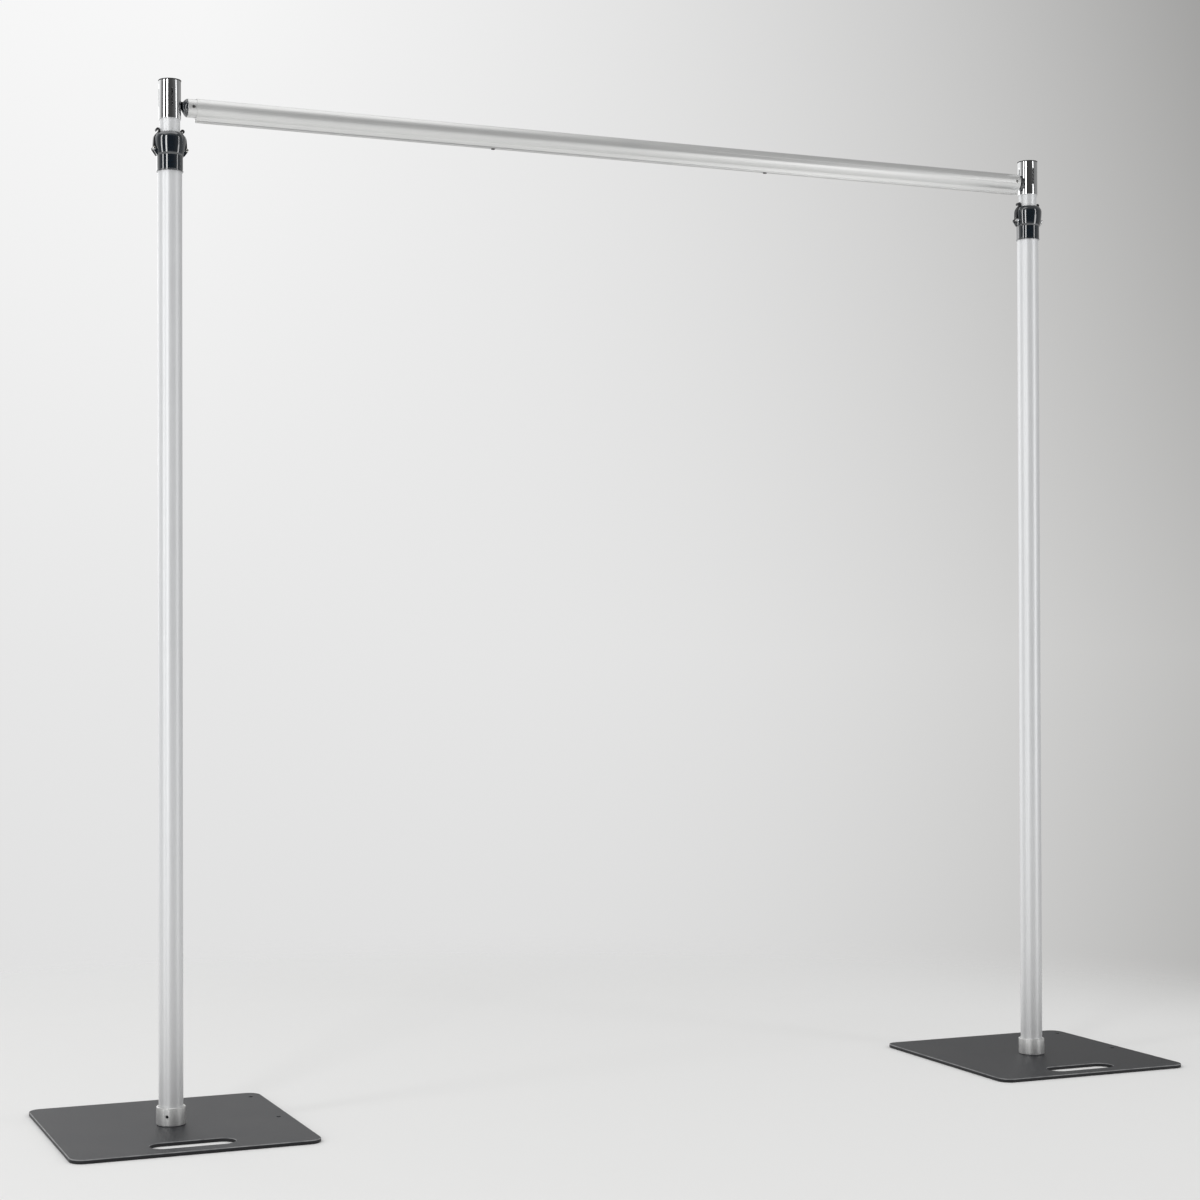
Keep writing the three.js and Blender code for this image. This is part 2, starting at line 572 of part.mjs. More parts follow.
// A small stop held in the track, with a foot that shows under the lips.
function trackStop(x) {
  const floor = -barRadius - track.depth, inside = track.width / 2 - track.side - seatGap;
  const neck = track.mouth / 2 - seatGap, foot = track.stopFootWidth / 2;
  const top = -barRadius - seatGap, lipTop = floor + track.lip + seatGap;
  const under = floor - seatGap, sole = under - track.stopFoot;
  const outline = [[-inside, lipTop], [-neck, lipTop], [-neck, under], [-foot, under], [-foot, sole], [foot, sole],
    [foot, under], [neck, under], [neck, lipTop], [inside, lipTop], [inside, top], [-inside, top]];
  const section = new THREE.Shape(outline.map(([y, z]) => new THREE.Vector2(y, z)));
  const stop = plateOf(section, track.stopLength).rotateX(Math.PI / 2).rotateZ(Math.PI / 2);
  return lifted(stop, x - track.stopLength / 2);
}

// Assembly

function stand(prefix, x, towardsBar, screwAngle) {
  const group = groupOf(
    mesh(`${prefix}_base_plate`, basePlate(), powderCoat),
    mesh(`${prefix}_spigot`, spigotPost(), zincSteel),
    mesh(`${prefix}_spigot_bolt`, spigotBolt(), zincSteel),
    mesh(`${prefix}_socket_ring`, socketRing(screwAngle), satinAluminium),
    mesh(`${prefix}_set_screw`, setScrew(screwAngle), blackSteel),
    mesh(`${prefix}_upright_tube`, uprightTube(), satinAluminium),
    mesh(`${prefix}_upper_bush`, upperBush(), blackSatin),
    mesh(`${prefix}_slip_collar`, slipCollar(), blackGloss),
    mesh(`${prefix}_mast_tube`, mastTube(), satinAluminium),
    mesh(`${prefix}_mast_guide`, mastGuide(), blackSatin),
    mesh(`${prefix}_slotted_head`, slottedHead(), chrome),
    mesh(`${prefix}_head_cap`, headCap(), blackSatin),
  );
  for (const [where, side] of [["inner", towardsBar], ["outer", -towardsBar]]) {
    const lock = groupOf(
      mesh(`${prefix}_${where}_lever`, lockLever(), blackSatin),
      mesh(`${prefix}_${where}_lever_pin`, leverPin(), zincSteel),
      mesh(`${prefix}_${where}_lever_spring`, leverSpring(), zincSteel),
    );
    lock.position.z = collarBottom;
    lock.rotation.z = side > 0 ? 0 : Math.PI;
    group.add(lock);
  }
  group.position.x = x;
  return group;
}

function barEnd(prefix, tubeRadius, bore, gapToUpright, facing) {
  const x = facing * (span / 2 - gapToUpright);
  const blade = mesh(`${prefix}_hook`, hookBlade(gapToUpright), blackSteel);
  blade.position.x = (facing * span) / 2;
  blade.rotation.z = facing < 0 ? 0 : Math.PI;
  return groupOf(
    mesh(`${prefix}_end_plug`, lifted(endPlug(tubeRadius, bore, gapToUpright, facing), x), blackGloss),
    mesh(`${prefix}_plug_screw`, plugScrew(x - facing * plug.screwInset, tubeRadius), zincSteel),
    blade,
  );
}

function crossbar() {
  return groupOf(
    mesh("outer_bar_tube", outerBar(), satinAluminium),
    mesh("inner_bar_tube", innerBar(), satinAluminium),
    mesh("inner_bar_guide", innerBarGuide(), blackSatin),
    mesh("left_track_stop", trackStop(-track.stopSpacing / 2), blackSatin),
    mesh("right_track_stop", trackStop(track.stopSpacing / 2), blackSatin),
    barEnd("left", innerBarRadius, innerBarBore, bar.leftGap, -1),
    barEnd("right", barRadius, barBore, bar.rightGap, 1),
  );
}

const backdrop = groupOf(
  stand("left", -span / 2, 1, THREE.MathUtils.degToRad(ring.leftScrewDegrees)),
  stand("right", span / 2, -1, THREE.MathUtils.degToRad(ring.rightScrewDegrees)),
  crossbar(),
);

export default backdrop;
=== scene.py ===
import math

import bpy
import numpy as np
from mathutils import Matrix, Vector
from mathutils.geometry import tessellate_polygon


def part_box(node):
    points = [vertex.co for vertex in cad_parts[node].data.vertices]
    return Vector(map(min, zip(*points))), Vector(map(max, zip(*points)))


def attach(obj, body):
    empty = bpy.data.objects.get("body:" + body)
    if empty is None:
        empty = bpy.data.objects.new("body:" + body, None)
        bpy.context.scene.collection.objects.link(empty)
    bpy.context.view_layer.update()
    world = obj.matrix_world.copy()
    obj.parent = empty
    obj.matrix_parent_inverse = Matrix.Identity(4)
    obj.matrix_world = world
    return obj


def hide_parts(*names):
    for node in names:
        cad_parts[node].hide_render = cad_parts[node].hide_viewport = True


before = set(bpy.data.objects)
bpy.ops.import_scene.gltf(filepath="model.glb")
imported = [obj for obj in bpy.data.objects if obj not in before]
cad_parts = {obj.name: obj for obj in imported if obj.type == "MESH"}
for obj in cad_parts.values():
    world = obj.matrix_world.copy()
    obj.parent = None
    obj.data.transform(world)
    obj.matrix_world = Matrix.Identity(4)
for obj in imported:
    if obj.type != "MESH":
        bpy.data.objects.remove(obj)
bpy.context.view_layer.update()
print("frame loaded:", len(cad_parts), "nodes")

mm = 0.001
clearance = 0.3      # millimetres between pieces that fit in one another
through = 30         # millimetres that a cutter reaches to each side, past the piece that it cuts
scene = bpy.context.scene

# The camera stands low and to the left of the frame, at the photograph's viewpoint.
cameraView = {
    "place": (-2.0675, -4.3733, 0.9656),
    "yaw": 21.344, "pitch": 0.512, "roll": -0.143,   # degrees; yaw turns from +Y towards +X
    "lens": 65.263, "sensor": 36, "shiftX": 0.09726, "shiftY": 0.02856,
}


def makeCamera():
    yaw, pitch, roll = (math.radians(cameraView[k]) for k in ("yaw", "pitch", "roll"))
    ahead = Vector((math.sin(yaw) * math.cos(pitch), math.cos(yaw) * math.cos(pitch), math.sin(pitch)))
    level = ahead.cross(Vector((0, 0, 1))).normalized()
    upright = level.cross(ahead)
    right = math.cos(roll) * level + math.sin(roll) * upright
    up = -math.sin(roll) * level + math.cos(roll) * upright
    data = bpy.data.cameras.new("camera")
    data.lens, data.sensor_width = cameraView["lens"], cameraView["sensor"]
    data.shift_x, data.shift_y = cameraView["shiftX"], cameraView["shiftY"]
    data.clip_start, data.clip_end = 0.05, 100
    camera = bpy.data.objects.new("camera", data)
    scene.collection.objects.link(camera)
    turn = Matrix((right, up, -ahead)).transposed().to_4x4()
    camera.matrix_world = Matrix.Translation(cameraView["place"]) @ turn
    scene.camera = camera


makeCamera()
print("camera placed")


def operator(operation, swapped=False):
    def method(self, other):
        return self.maths(operation, *((other, self) if swapped else (self, other)))
    return method


# A shader socket with operators, so that an expression on sockets adds its Math nodes.
class Signal:
    def __init__(self, tree, socket):
        self.tree, self.socket = tree, socket

    # any node: its settings first, then the values or links of its sockets
    def node(self, kind, settings=None, inputs=None):
        made = self.tree.nodes.new(kind)
        for key, value in (settings or {}).items():
            setattr(made, key, value)
        for key, value in (inputs or {}).items():
            if isinstance(value, Signal):
                self.tree.links.new(value.socket, made.inputs[key])
            else:
                made.inputs[key].default_value = value
        return Signal(self.tree, made.outputs[0])

    def maths(self, operation, *values):
        return self.node("ShaderNodeMath", {"operation": operation}, dict(enumerate(values)))

    __add__, __radd__ = operator("ADD"), operator("ADD", True)
    __sub__, __rsub__ = operator("SUBTRACT"), operator("SUBTRACT", True)
    __mul__, __rmul__ = operator("MULTIPLY"), operator("MULTIPLY", True)
    __truediv__, __rtruediv__ = operator("DIVIDE"), operator("DIVIDE", True)
    __pow__, __rpow__ = operator("POWER"), operator("POWER", True)
    larger, smaller = operator("MAXIMUM"), operator("MINIMUM")

    def size(self):
        return self.maths("ABSOLUTE", self)

    # distance from 0 of the point with this and other as its coordinates
    def span(self, other):
        return (self * self + other * other) ** 0.5

    # bell curve: 1 at 0, falling to both sides
    def bell(self):
        return self.maths("EXPONENT", self * self * -1)

    # 0 below low, 1 above high, smooth between
    def step(self, low, high):
        return self.node("ShaderNodeMapRange", {"interpolation_type": "SMOOTHSTEP"},
                         {"Value": self, "From Min": low, "From Max": high})

    # number a where this is 0, b where it is 1
    def between(self, a, b):
        return a * (1 - self) + b * self

    # colour a where this is 0, b where it is 1
    def blend(self, a, b):
        made = self.tree.nodes.new("ShaderNodeMix")
        made.data_type = "RGBA"
        for name, value in (("Factor_Float", self), ("A_Color", a), ("B_Color", b)):
            socket = next(s for s in made.inputs if s.identifier == name)
            if isinstance(value, Signal):
                self.tree.links.new(value.socket, socket)
            else:
                socket.default_value = value
        return Signal(self.tree, next(s for s in made.outputs if s.identifier == "Result_Color"))

    def axes(self):
        split = self.tree.nodes.new("ShaderNodeSeparateXYZ")
        self.tree.links.new(self.socket, split.inputs[0])
        return [Signal(self.tree, out) for out in split.outputs]

    # the same pattern coordinates stretched
    def mapped(self, scale):
        return self.node("ShaderNodeMapping", None, {"Vector": self, "Scale": scale})

    def noise(self, scale, detail=2.0, rough=0.5):
        return self.node("ShaderNodeTexNoise", None,
                         {"Vector": self, "Scale": scale, "Detail": detail, "Roughness": rough})

    def bump(self, strength, depth, into=None):
        inputs = {"Height": self, "Strength": strength, "Distance": depth}
        if into is not None:
            inputs["Normal"] = into
        return self.node("ShaderNodeBump", None, inputs)


def startMaterial(name, **constants):
    material = bpy.data.materials.new(name)
    material.use_nodes = True
    tree = material.node_tree
    shader = tree.nodes["Principled BSDF"]
    for key, value in constants.items():
        shader.inputs[key.replace("_", " ")].default_value = value
    place = Signal(tree, tree.nodes.new("ShaderNodeTexCoord").outputs["Object"])

    def feed(**signals):
        for key, signal in signals.items():
            tree.links.new(signal.socket, shader.inputs[key.replace("_", " ")])

    return material, place, feed


# From where to where a CAD node reaches along X (0), Y (1) or Z (2), in millimetres.
def reachOf(node, axis):
    low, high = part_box(node)
    return low[axis] / mm, high[axis] / mm


# Sizes of pieces are in millimetres. The plate's stand here, because its finish is paler along its edges,
# where rubbed paint carries a painted highlight.
plate = {
    "corner": 28, "edge": 1.3, "slotLength": 172, "slotWidth": 54, "slotPlace": -187,
    "pegHole": 4.5, "pegPlaces": ((224, 205), (224, -13)),
    "boltHead": 11.8, "boltShank": 6.3, "coneStart": 0.2, "coneEnd": 6.8,
}
plateStart, plateEnd = reachOf("right_base_plate", 0)
powderCoatLook = {
    "colour": (0.0130, 0.0140, 0.0165, 1), "pale": (0.038, 0.041, 0.047, 1),
    "lighterTone": (0.26, 0.26, 0.265, 1), "shadedSide": (0.004, 0.004, 0.005, 1),
    "grain": 1100, "pimple": 240, "cloud": 9, "speck": 2600,
    "shadedSideTop": (0.0050, 0.0068), "edgeHighlightStart": (0.0063, 0.0070),     # heights in metres where each fades
}


# Fine matt powder coat: close pimpled grain, faint clouding, side faces painted nearly black as painted
# shade, and rubbed paint painted much paler along the top edges of plate and hand slot, as a painted
# highlight on those edges.
# The rim's distance is that of a rounded box round the plate's middle.
def powderCoat():
    look = powderCoatLook
    material, place, feed = startMaterial("satin charcoal powder coat", Specular_IOR_Level=0.4)
    x, y, z = place.axes()
    along, reach = (x.size() - (plateStart + plateEnd) / 2 * mm).size(), (plateEnd - plateStart) / 2 * mm
    corner = reach - plate["corner"] * mm
    rim = (along - corner).larger(0).span((y.size() - corner).larger(0))
    slotEnd = (plate["slotLength"] - plate["slotWidth"]) / 2 * mm
    slotRim = (along - slotEnd).larger(0).span(y - plate["slotPlace"] * mm)
    edge, slotEdge = (plate["corner"] - plate["edge"]) * mm, plate["slotWidth"] / 2 * mm
    # painted highlight: a pale band on the rounded top edges of plate and hand slot, rubbed paint painted
    # much paler so that it stands in for the edges' highlight
    lighterTone = rim.step(edge - 0.0006, edge + 0.0004)
    lighterTone = lighterTone.larger(slotRim.step(slotEdge + plate["edge"] * mm + 0.0004, slotEdge))
    lighterTone = lighterTone * z.step(*look["edgeHighlightStart"]) * (place.noise(70, 3).step(0.25, 0.7) * 0.5 + 0.5)
    grain, pimple = place.noise(look["grain"], 2, 0.6), place.noise(look["pimple"], 3, 0.7)
    cloud = place.noise(look["cloud"], 3)
    speck = place.noise(look["speck"], 1).step(0.68, 0.78)
    tone = (grain * 0.25 + pimple * 0.45 + cloud * 0.3).step(0.36, 0.66) * 0.6 + speck * 0.3
    # painted shade: the side faces below the rounded top edge blend towards near black
    sideShade = (1 - z.step(*look["shadedSideTop"])) * 0.85
    paint = sideShade.blend(tone.blend(look["colour"], look["pale"]), look["shadedSide"])
    feed(Base_Color=lighterTone.blend(paint, look["lighterTone"]),
         Roughness=grain * 0.10 + pimple * 0.10 + cloud * 0.08 + 0.34,
         Normal=grain.bump(0.3, 0.0004, pimple.bump(0.35, 0.0011)))
    return material


aluminiumLook = {
    "streak": 520, "footTop": 0.8, "foot": (0.79, 0.795, 0.80, 1),
    "upright": {"colour": (0.87, 0.88, 0.89, 1), "dull": (0.79, 0.80, 0.81, 1),
                "metallic": 0.62, "rough": 0.48, "stretched": 0.75},
    "bar": {"colour": (0.80, 0.80, 0.79, 1), "dull": (0.715, 0.72, 0.715, 1),
            "metallic": 0.78, "rough": 0.37, "stretched": 0.0},
}


# Satin anodised tube: draw lines along its length, soft clouding, a few short scuffs from handling, and a
# colour that darkens towards the foot. The milky oxide scatters part of the light, so the metal isn't fully
# metallic, and the draw lines of the uprights stretch the highlights along them.
def satinAluminium(name, along, finish):
    material, place, feed = startMaterial(name, Metallic=finish["metallic"], Anisotropic=finish["stretched"],
                                          Anisotropic_Rotation=0.25)
    stretch = [aluminiumLook["streak"]] * 3
    stretch["XYZ".index(along)] = 1.2
    broad = [s * 0.22 for s in stretch]
    broad["XYZ".index(along)] = 2.5
    lines, bands = place.mapped(stretch).noise(1, 4, 0.65), place.mapped(broad).noise(1, 2)
    cloud, worn = place.noise(16, 3, 0.6), place.noise(4.5, 1).step(0.5, 0.62)
    scuffs = place.mapped((70, 70, 70)).noise(1, 5, 0.7).step(0.66, 0.78) * worn
    tone = (lines * 0.45 + bands * 0.3 + cloud * 0.25).step(0.25, 0.75)
    # the colour darkens towards the tube's foot
    foot = (1 - place.axes()[2].step(0.1, aluminiumLook["footTop"])) * (cloud * 0.3 + 0.8)
    feed(Base_Color=foot.blend(tone.blend(finish["dull"], finish["colour"]), aluminiumLook["foot"]),
         Roughness=lines * 0.10 + cloud * 0.05 + scuffs * 0.08 + finish["rough"],
         Normal=lines.bump(0.10, 0.00012))
    return material


turnedLook = {"dark": (0.66, 0.665, 0.66, 1), "pale": (0.84, 0.84, 0.83, 1), "rings": 2400, "rough": 0.26}


# Turned aluminium, lightly blasted: faint tool rings round the axis under a fine speckle.
def turnedAluminium():
    material, place, feed = startMaterial("turned aluminium", Metallic=0.8)
    rings = place.mapped((6, 6, turnedLook["rings"])).noise(1, 3, 0.6)
    speckle, cloud = place.noise(900, 3, 0.7), place.noise(45, 3, 0.6)
    tone = (rings * 0.25 + speckle * 0.45 + cloud * 0.3).step(0.3, 0.7)
    feed(Base_Color=tone.blend(turnedLook["dark"], turnedLook["pale"]),
         Roughness=rings * 0.06 + speckle * 0.10 + cloud * 0.06 + turnedLook["rough"],
         Normal=speckle.bump(0.25, 0.0002, rings.bump(0.08, 0.0001)))
    return material


chromeLook = {"filmed": (0.84, 0.85, 0.86, 1), "clean": (0.90, 0.905, 0.91, 1), "rough": 0.045}


# Chrome plate: nearly clean, with a faint film, finger smears and hairline scratches.
def chromePlate():
    material, place, feed = startMaterial("bright chrome", Metallic=1.0)
    film = place.noise(38, 3, 0.6)
    smear = place.mapped((90, 90, 30)).noise(1, 2).step(0.55, 0.75)
    hair = place.mapped((1500, 1500, 40)).noise(1, 2).step(0.70, 0.76)
    feed(Base_Color=film.step(0.3, 0.7).blend(chromeLook["filmed"], chromeLook["clean"]),
         Roughness=smear * 0.05 + film * 0.04 + hair * 0.12 + chromeLook["rough"],
         Normal=film.bump(0.05, 0.0003))
    return material


zincLook = {"blue": (0.70, 0.72, 0.76), "straw": (0.78, 0.76, 0.70), "rough": 0.14}


# Zinc plate with the faint blue and straw tints of its passivation. Its colour is scaled by the painted
# light, and below 1 it is a copy painted darker as painted shade.
def zincPlate(name, paintedLight):
    material, place, feed = startMaterial(name, Metallic=1.0)
    tint, spangle = place.noise(220, 2), place.noise(1100, 3)
    blue, straw = ([part * paintedLight for part in zincLook[k]] + [1] for k in ("blue", "straw"))
    feed(Base_Color=tint.step(0.35, 0.65).blend(blue, straw),
         Roughness=spangle * 0.18 + zincLook["rough"],
         Normal=spangle.bump(0.10, 0.0001))
    return material


glossLook = {"clean": (0.0010, 0.0050, 0.0095, 1), "worn": (0.015, 0.019, 0.025, 1), "rough": 0.09}


# Glossy moulded plastic: slight waviness from the mould, dust specks and rubbed patches.
def glossPlastic():
    material, place, feed = startMaterial("gloss black plastic", Specular_IOR_Level=0.8, Coat_Weight=1.0,
                                          Coat_Roughness=0.05, Coat_IOR=1.8)
    wave = place.noise(55, 2)
    lighterTone = place.noise(130, 4, 0.65).step(0.52, 0.8)
    dust = place.noise(1900, 1).step(0.72, 0.8)
    feed(Base_Color=(dust * 0.5 + lighterTone * 0.3).blend(glossLook["clean"], glossLook["worn"]),
         Roughness=lighterTone * 0.10 + dust * 0.2 + glossLook["rough"],
         Normal=wave.bump(0.08, 0.0004))
    return material


satinLook = {"dark": (0.010, 0.010, 0.012, 1), "pale": (0.022, 0.022, 0.025, 1), "rough": 0.27}


# Fine spark-eroded satin plastic.
def satinPlastic():
    material, place, feed = startMaterial("satin black plastic", IOR=1.5)
    grain, cloud = place.noise(1400, 2), place.noise(70, 3)
    feed(Base_Color=(grain * 0.4 + cloud * 0.6).step(0.3, 0.7).blend(satinLook["dark"], satinLook["pale"]),
         Roughness=grain * 0.2 + cloud * 0.1 + satinLook["rough"],
         Normal=grain.bump(0.25, 0.00015))
    return material


blackSteelLook = {"oiled": (0.022, 0.023, 0.026, 1), "lighterTone": (0.10, 0.10, 0.105, 1), "rough": 0.24}


# Black oxide steel: dark, slightly oily, greyer where it rubs.
def blackSteel():
    material, place, feed = startMaterial("black oxide steel", Metallic=0.85)
    rub, grain = place.noise(260, 4, 0.65).step(0.5, 0.8), place.noise(1300, 2)
    feed(Base_Color=rub.blend(blackSteelLook["oiled"], blackSteelLook["lighterTone"]),
         Roughness=grain * 0.2 + blackSteelLook["rough"] - rub * 0.05,
         Normal=grain.bump(0.15, 0.0001))
    return material


# Each finish, with the CAD slot that its pieces take.
looks = {
    "powderCoat": (powderCoat(), "powder_coat"),
    "upright": (satinAluminium("satin anodised upright", "Z", aluminiumLook["upright"]), "satin_aluminium"),
    "bar": (satinAluminium("satin anodised crossbar", "X", aluminiumLook["bar"]), "satin_aluminium"),
    "turned": (turnedAluminium(), "satin_aluminium"),
    "chrome": (chromePlate(), "chrome"),
    "zinc": (zincPlate("bright zinc plate", 1.0), "zinc_steel"),
    # a copy of the zinc painted darker, as painted shade
    "shadedZinc": (zincPlate("zinc plate painted in shade", 0.4), "zinc_steel"),
    "blackGloss": (glossPlastic(), "black_gloss"),
    "blackSatin": (satinPlastic(), "black_satin"),
    "blackSteel": (blackSteel(), "black_steel"),
}
print("finishes made:", len(looks))


def paint(piece, look):
    piece.data.materials.clear()
    piece.data.materials.append(looks[look][0])


def dress(piece, look, body, node):
    paint(piece, look)
    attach(piece, body)
    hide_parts(node)


# Quads of a grid of rows by columns points, wrapped round where the surface closes on itself.
def gridFaces(rows, columns, closeRows, closeColumns):
    i = np.arange(rows if closeRows else rows - 1)[:, None]
    j = np.arange(columns if closeColumns else columns - 1)[None, :]
    below, beside = (i + 1) % rows, (j + 1) % columns
    corners = [i * columns + j, i * columns + beside, below * columns + beside, below * columns + j]
    return np.stack(np.broadcast_arrays(*corners), -1).reshape(-1, 4)


# Triangles that close the first and last ring of such a grid, to the two points that follow its own.
def poleFaces(rows, sides):
    ring, pole = np.arange(sides), np.full(sides, rows * sides)
    beside, far = (ring + 1) % sides, (rows - 1) * sides
    return [np.stack([pole, beside, ring], -1), np.stack([pole + 1, far + ring, far + beside], -1)]


# Six times the volume that the faces enclose: negative means that they point inwards.
def enclosed(points, faces):
    a, b, c = (points[faces[:, k]] for k in (0, 1, 2))
    total = np.einsum("ij,ij->", a, np.cross(b, c))
    if faces.shape[1] == 4:
        d = points[faces[:, 3]]
        total += np.einsum("ij,ij->", a, np.cross(c, d))
    return total


def smoothed(piece, crease=32):
    piece.data.shade_smooth()
    piece.data.set_sharp_from_angle(angle=math.radians(crease))


# A mesh from points in millimetres and arrays of faces, turned round where they point inwards.
def makePiece(name, points, faceSets, crease=32):
    if sum(enclosed(points, f) for f in faceSets) < 0:
        faceSets = [f[:, ::-1] for f in faceSets]
    loops = np.concatenate([f.ravel() for f in faceSets]).astype(np.int32)
    counts = np.concatenate([np.full(len(f), f.shape[1]) for f in faceSets]).astype(np.int32)
    mesh = bpy.data.meshes.new(name)
    mesh.vertices.add(len(points))
    mesh.vertices.foreach_set("co", (points * mm).astype(np.float32).ravel())
    mesh.loops.add(len(loops))
    mesh.loops.foreach_set("vertex_index", loops)
    mesh.polygons.add(len(counts))
    mesh.polygons.foreach_set("loop_start", (np.cumsum(counts) - counts).astype(np.int32))
    mesh.update(calc_edges=True)
    mesh.validate()
    piece = bpy.data.objects.new(name, mesh)
    scene.collection.objects.link(piece)
    smoothed(piece, crease)
    return piece


# A line through corners with the corners rounded: radii gives each corner's radius, 0 for a sharp one.
def softened(corners, radii, steps=5):
    out = []
    for i, (corner, radius) in enumerate(zip(corners, radii)):
        here = np.array(corner, float)
        if radius == 0:
            out.append(here)
            continue
        back, on = np.array(corners[i - 1]) - here, np.array(corners[(i + 1) % len(corners)]) - here
        back, on = back / np.linalg.norm(back), on / np.linalg.norm(on)
        half = math.acos(np.clip(back @ on, -1, 1)) / 2
        middle = here + (back + on) / np.linalg.norm(back + on) * radius / math.sin(half)
        first = here + back * radius / math.tan(half) - middle
        last = here + on * radius / math.tan(half) - middle
        sweep = math.pi - 2 * half
        for t in np.linspace(0, 1, steps):     # turns first towards last about the arc's middle
            turn = math.sin((1 - t) * sweep) * first + math.sin(t * sweep) * last
            out.append(middle + turn / math.sin(sweep))
    return np.array(out)


# Points of a Bezier curve of any order: the corners weighted by binomial shares of t.
def bezier(corners, count):
    t = np.linspace(0, 1, count)[:, None]
    order = len(corners) - 1
    return sum(math.comb(order, k) * t**k * (1 - t)**(order - k) * np.array(corner, float)
               for k, corner in enumerate(corners))


def arcPoints(x, y, radius, start, end, count):
    angle = np.radians(np.linspace(start, end, count))
    return np.column_stack([x + radius * np.cos(angle), y + radius * np.sin(angle)])


def circle(radius, x=0.0, y=0.0, count=96):
    return arcPoints(x, y, radius, 0, 360, count + 1)[:-1]


def roundedOutline(width, height, radius, x=0.0, y=0.0, steps=10):
    reachX, reachY = width / 2 - radius, height / 2 - radius
    quarters = [(reachX, -reachY, -90), (reachX, reachY, 0), (-reachX, reachY, 90), (-reachX, -reachY, 180)]
    return np.vstack([arcPoints(x + cx, y + cy, radius, a, a + 90, steps) for cx, cy, a in quarters])


# How a piece drawn upright is laid along another axis.
axisTurns = {
    "X": np.array([[0, 0, 1], [0, 1, 0], [-1, 0, 0]]), "Y": np.array([[1, 0, 0], [0, 0, 1], [0, -1, 0]]),
    "Z": np.eye(3),
}


# A profile of [radius, height] turned round an axis: (r cos a, r sin a, h). One that starts on the axis ends
# there too, and its ends become single points. Any other is a loop and makes a ring.
def turned(name, profile, middle, axis="Z", sides=96):
    profile = np.asarray(profile, float)
    loop = profile[0, 0] > 0
    rows = profile if loop else profile[1:-1]
    angle = np.arange(sides) * 2 * math.pi / sides
    points = np.stack([rows[:, :1] * np.cos(angle), rows[:, :1] * np.sin(angle),
                       np.repeat(rows[:, 1:], sides, 1)], -1).reshape(-1, 3)
    faceSets = [gridFaces(len(rows), sides, loop, True)]
    if not loop:
        points = np.vstack([points, [0, 0, profile[0, 1]], [0, 0, profile[-1, 1]]])
        faceSets += poleFaces(len(rows), sides)
    return makePiece(name, points @ axisTurns[axis].T + np.array(middle, float), faceSets)


# An outline, with holes, given a thickness: every loop runs through stations of [inset, height], so that the
# edges are rounded. A point moves in by the inset along the loop's own normal.
def slab(name, loops, stations, place):
    rings, walls, start = [], [], 0
    ends = {0: [], -1: []}
    for k, loop in enumerate(loops):
        area = np.sum(loop[:, 0] * np.roll(loop[:, 1], -1) - np.roll(loop[:, 0], -1) * loop[:, 1])
        if (area > 0) != (k == 0):             # the outline runs anticlockwise and its holes clockwise
            loop = loop[::-1]
        edge = np.roll(loop, -1, 0) - loop
        edge /= np.linalg.norm(edge, axis=1)[:, None]
        inwards = np.stack([-edge[:, 1], edge[:, 0]], -1)
        before = np.roll(inwards, 1, 0)
        way = (inwards + before) / (1 + np.sum(inwards * before, 1))[:, None]
        grid = np.stack([np.column_stack([loop + way * inset, np.full(len(loop), height)])
                         for inset, height in stations])
        rings.append(grid.reshape(-1, 3))
        walls.append(gridFaces(len(stations), len(loop), False, True) + start)
        for end in ends:
            ends[end].append((grid[end], start + (0 if end == 0 else (len(stations) - 1) * len(loop))))
        start += grid.shape[0] * grid.shape[1]
    points = np.concatenate(rings)
    lids = []
    for end, members in ends.items():
        index = np.concatenate([np.arange(len(p)) + first for p, first in members])
        fill = index[np.array(tessellate_polygon([[Vector((x, y, 0)) for x, y, _ in p] for p, _ in members]))]
        a, b, c = (points[fill[:, k], :2] for k in (0, 1, 2))
        facing = (b[:, 0] - a[:, 0]) * (c[:, 1] - a[:, 1]) - (b[:, 1] - a[:, 1]) * (c[:, 0] - a[:, 0])
        flip = (facing > 0) == (end == 0)
        fill[flip] = fill[flip][:, ::-1]
        lids.append(fill)
    return makePiece(name, place(points), [np.concatenate(walls)] + lids)


# Stations of a slab from one height to another, its edges rounded by quarter circles. A flat ring inside each
# rounded edge keeps the faces flat in smooth shading.
def edgeStations(bottom, top, radius, steps=4):
    turn = np.linspace(0, math.pi / 2, steps)
    low = np.column_stack([radius * (1 - np.sin(turn)), bottom + radius * (1 - np.cos(turn))])
    high = np.column_stack([radius * (1 - np.cos(turn)), top - radius * (1 - np.sin(turn))])
    flat = radius + 0.25
    return np.vstack([[(flat, bottom)], low, high, [(flat, top)]])


# Where a slab goes: flat, or drawn in X and Z with its thickness along Y, or drawn in Y and Z with its
# thickness along X. A facing of -1 turns the second kind half round.
def flatAt(x, y, z):
    return lambda p: p + np.array([x, y, z])


def sideways(x, y, z, facing=1):
    return lambda p: np.column_stack([facing * p[:, 0] + x, -facing * p[:, 2] + y, p[:, 1] + z])


def endways(x, y, z):
    return lambda p: np.column_stack([p[:, 2] + x, p[:, 0] + y, p[:, 1] + z])


# Joins or cuts a piece with others by a Boolean, takes the result as its mesh and drops the others.
def combined(piece, others, operation="DIFFERENCE"):
    for other in others:
        step = piece.modifiers.new(operation.lower(), "BOOLEAN")
        step.operation, step.object, step.solver = operation, other, "EXACT"
    bpy.context.view_layer.update()
    result = bpy.data.meshes.new_from_object(piece.evaluated_get(bpy.context.evaluated_depsgraph_get()))
    old = piece.data
    piece.modifiers.clear()
    piece.data = result
    bpy.data.meshes.remove(old)
    result.name = piece.name
    for other in others:
        bpy.data.objects.remove(other)
    smoothed(piece)


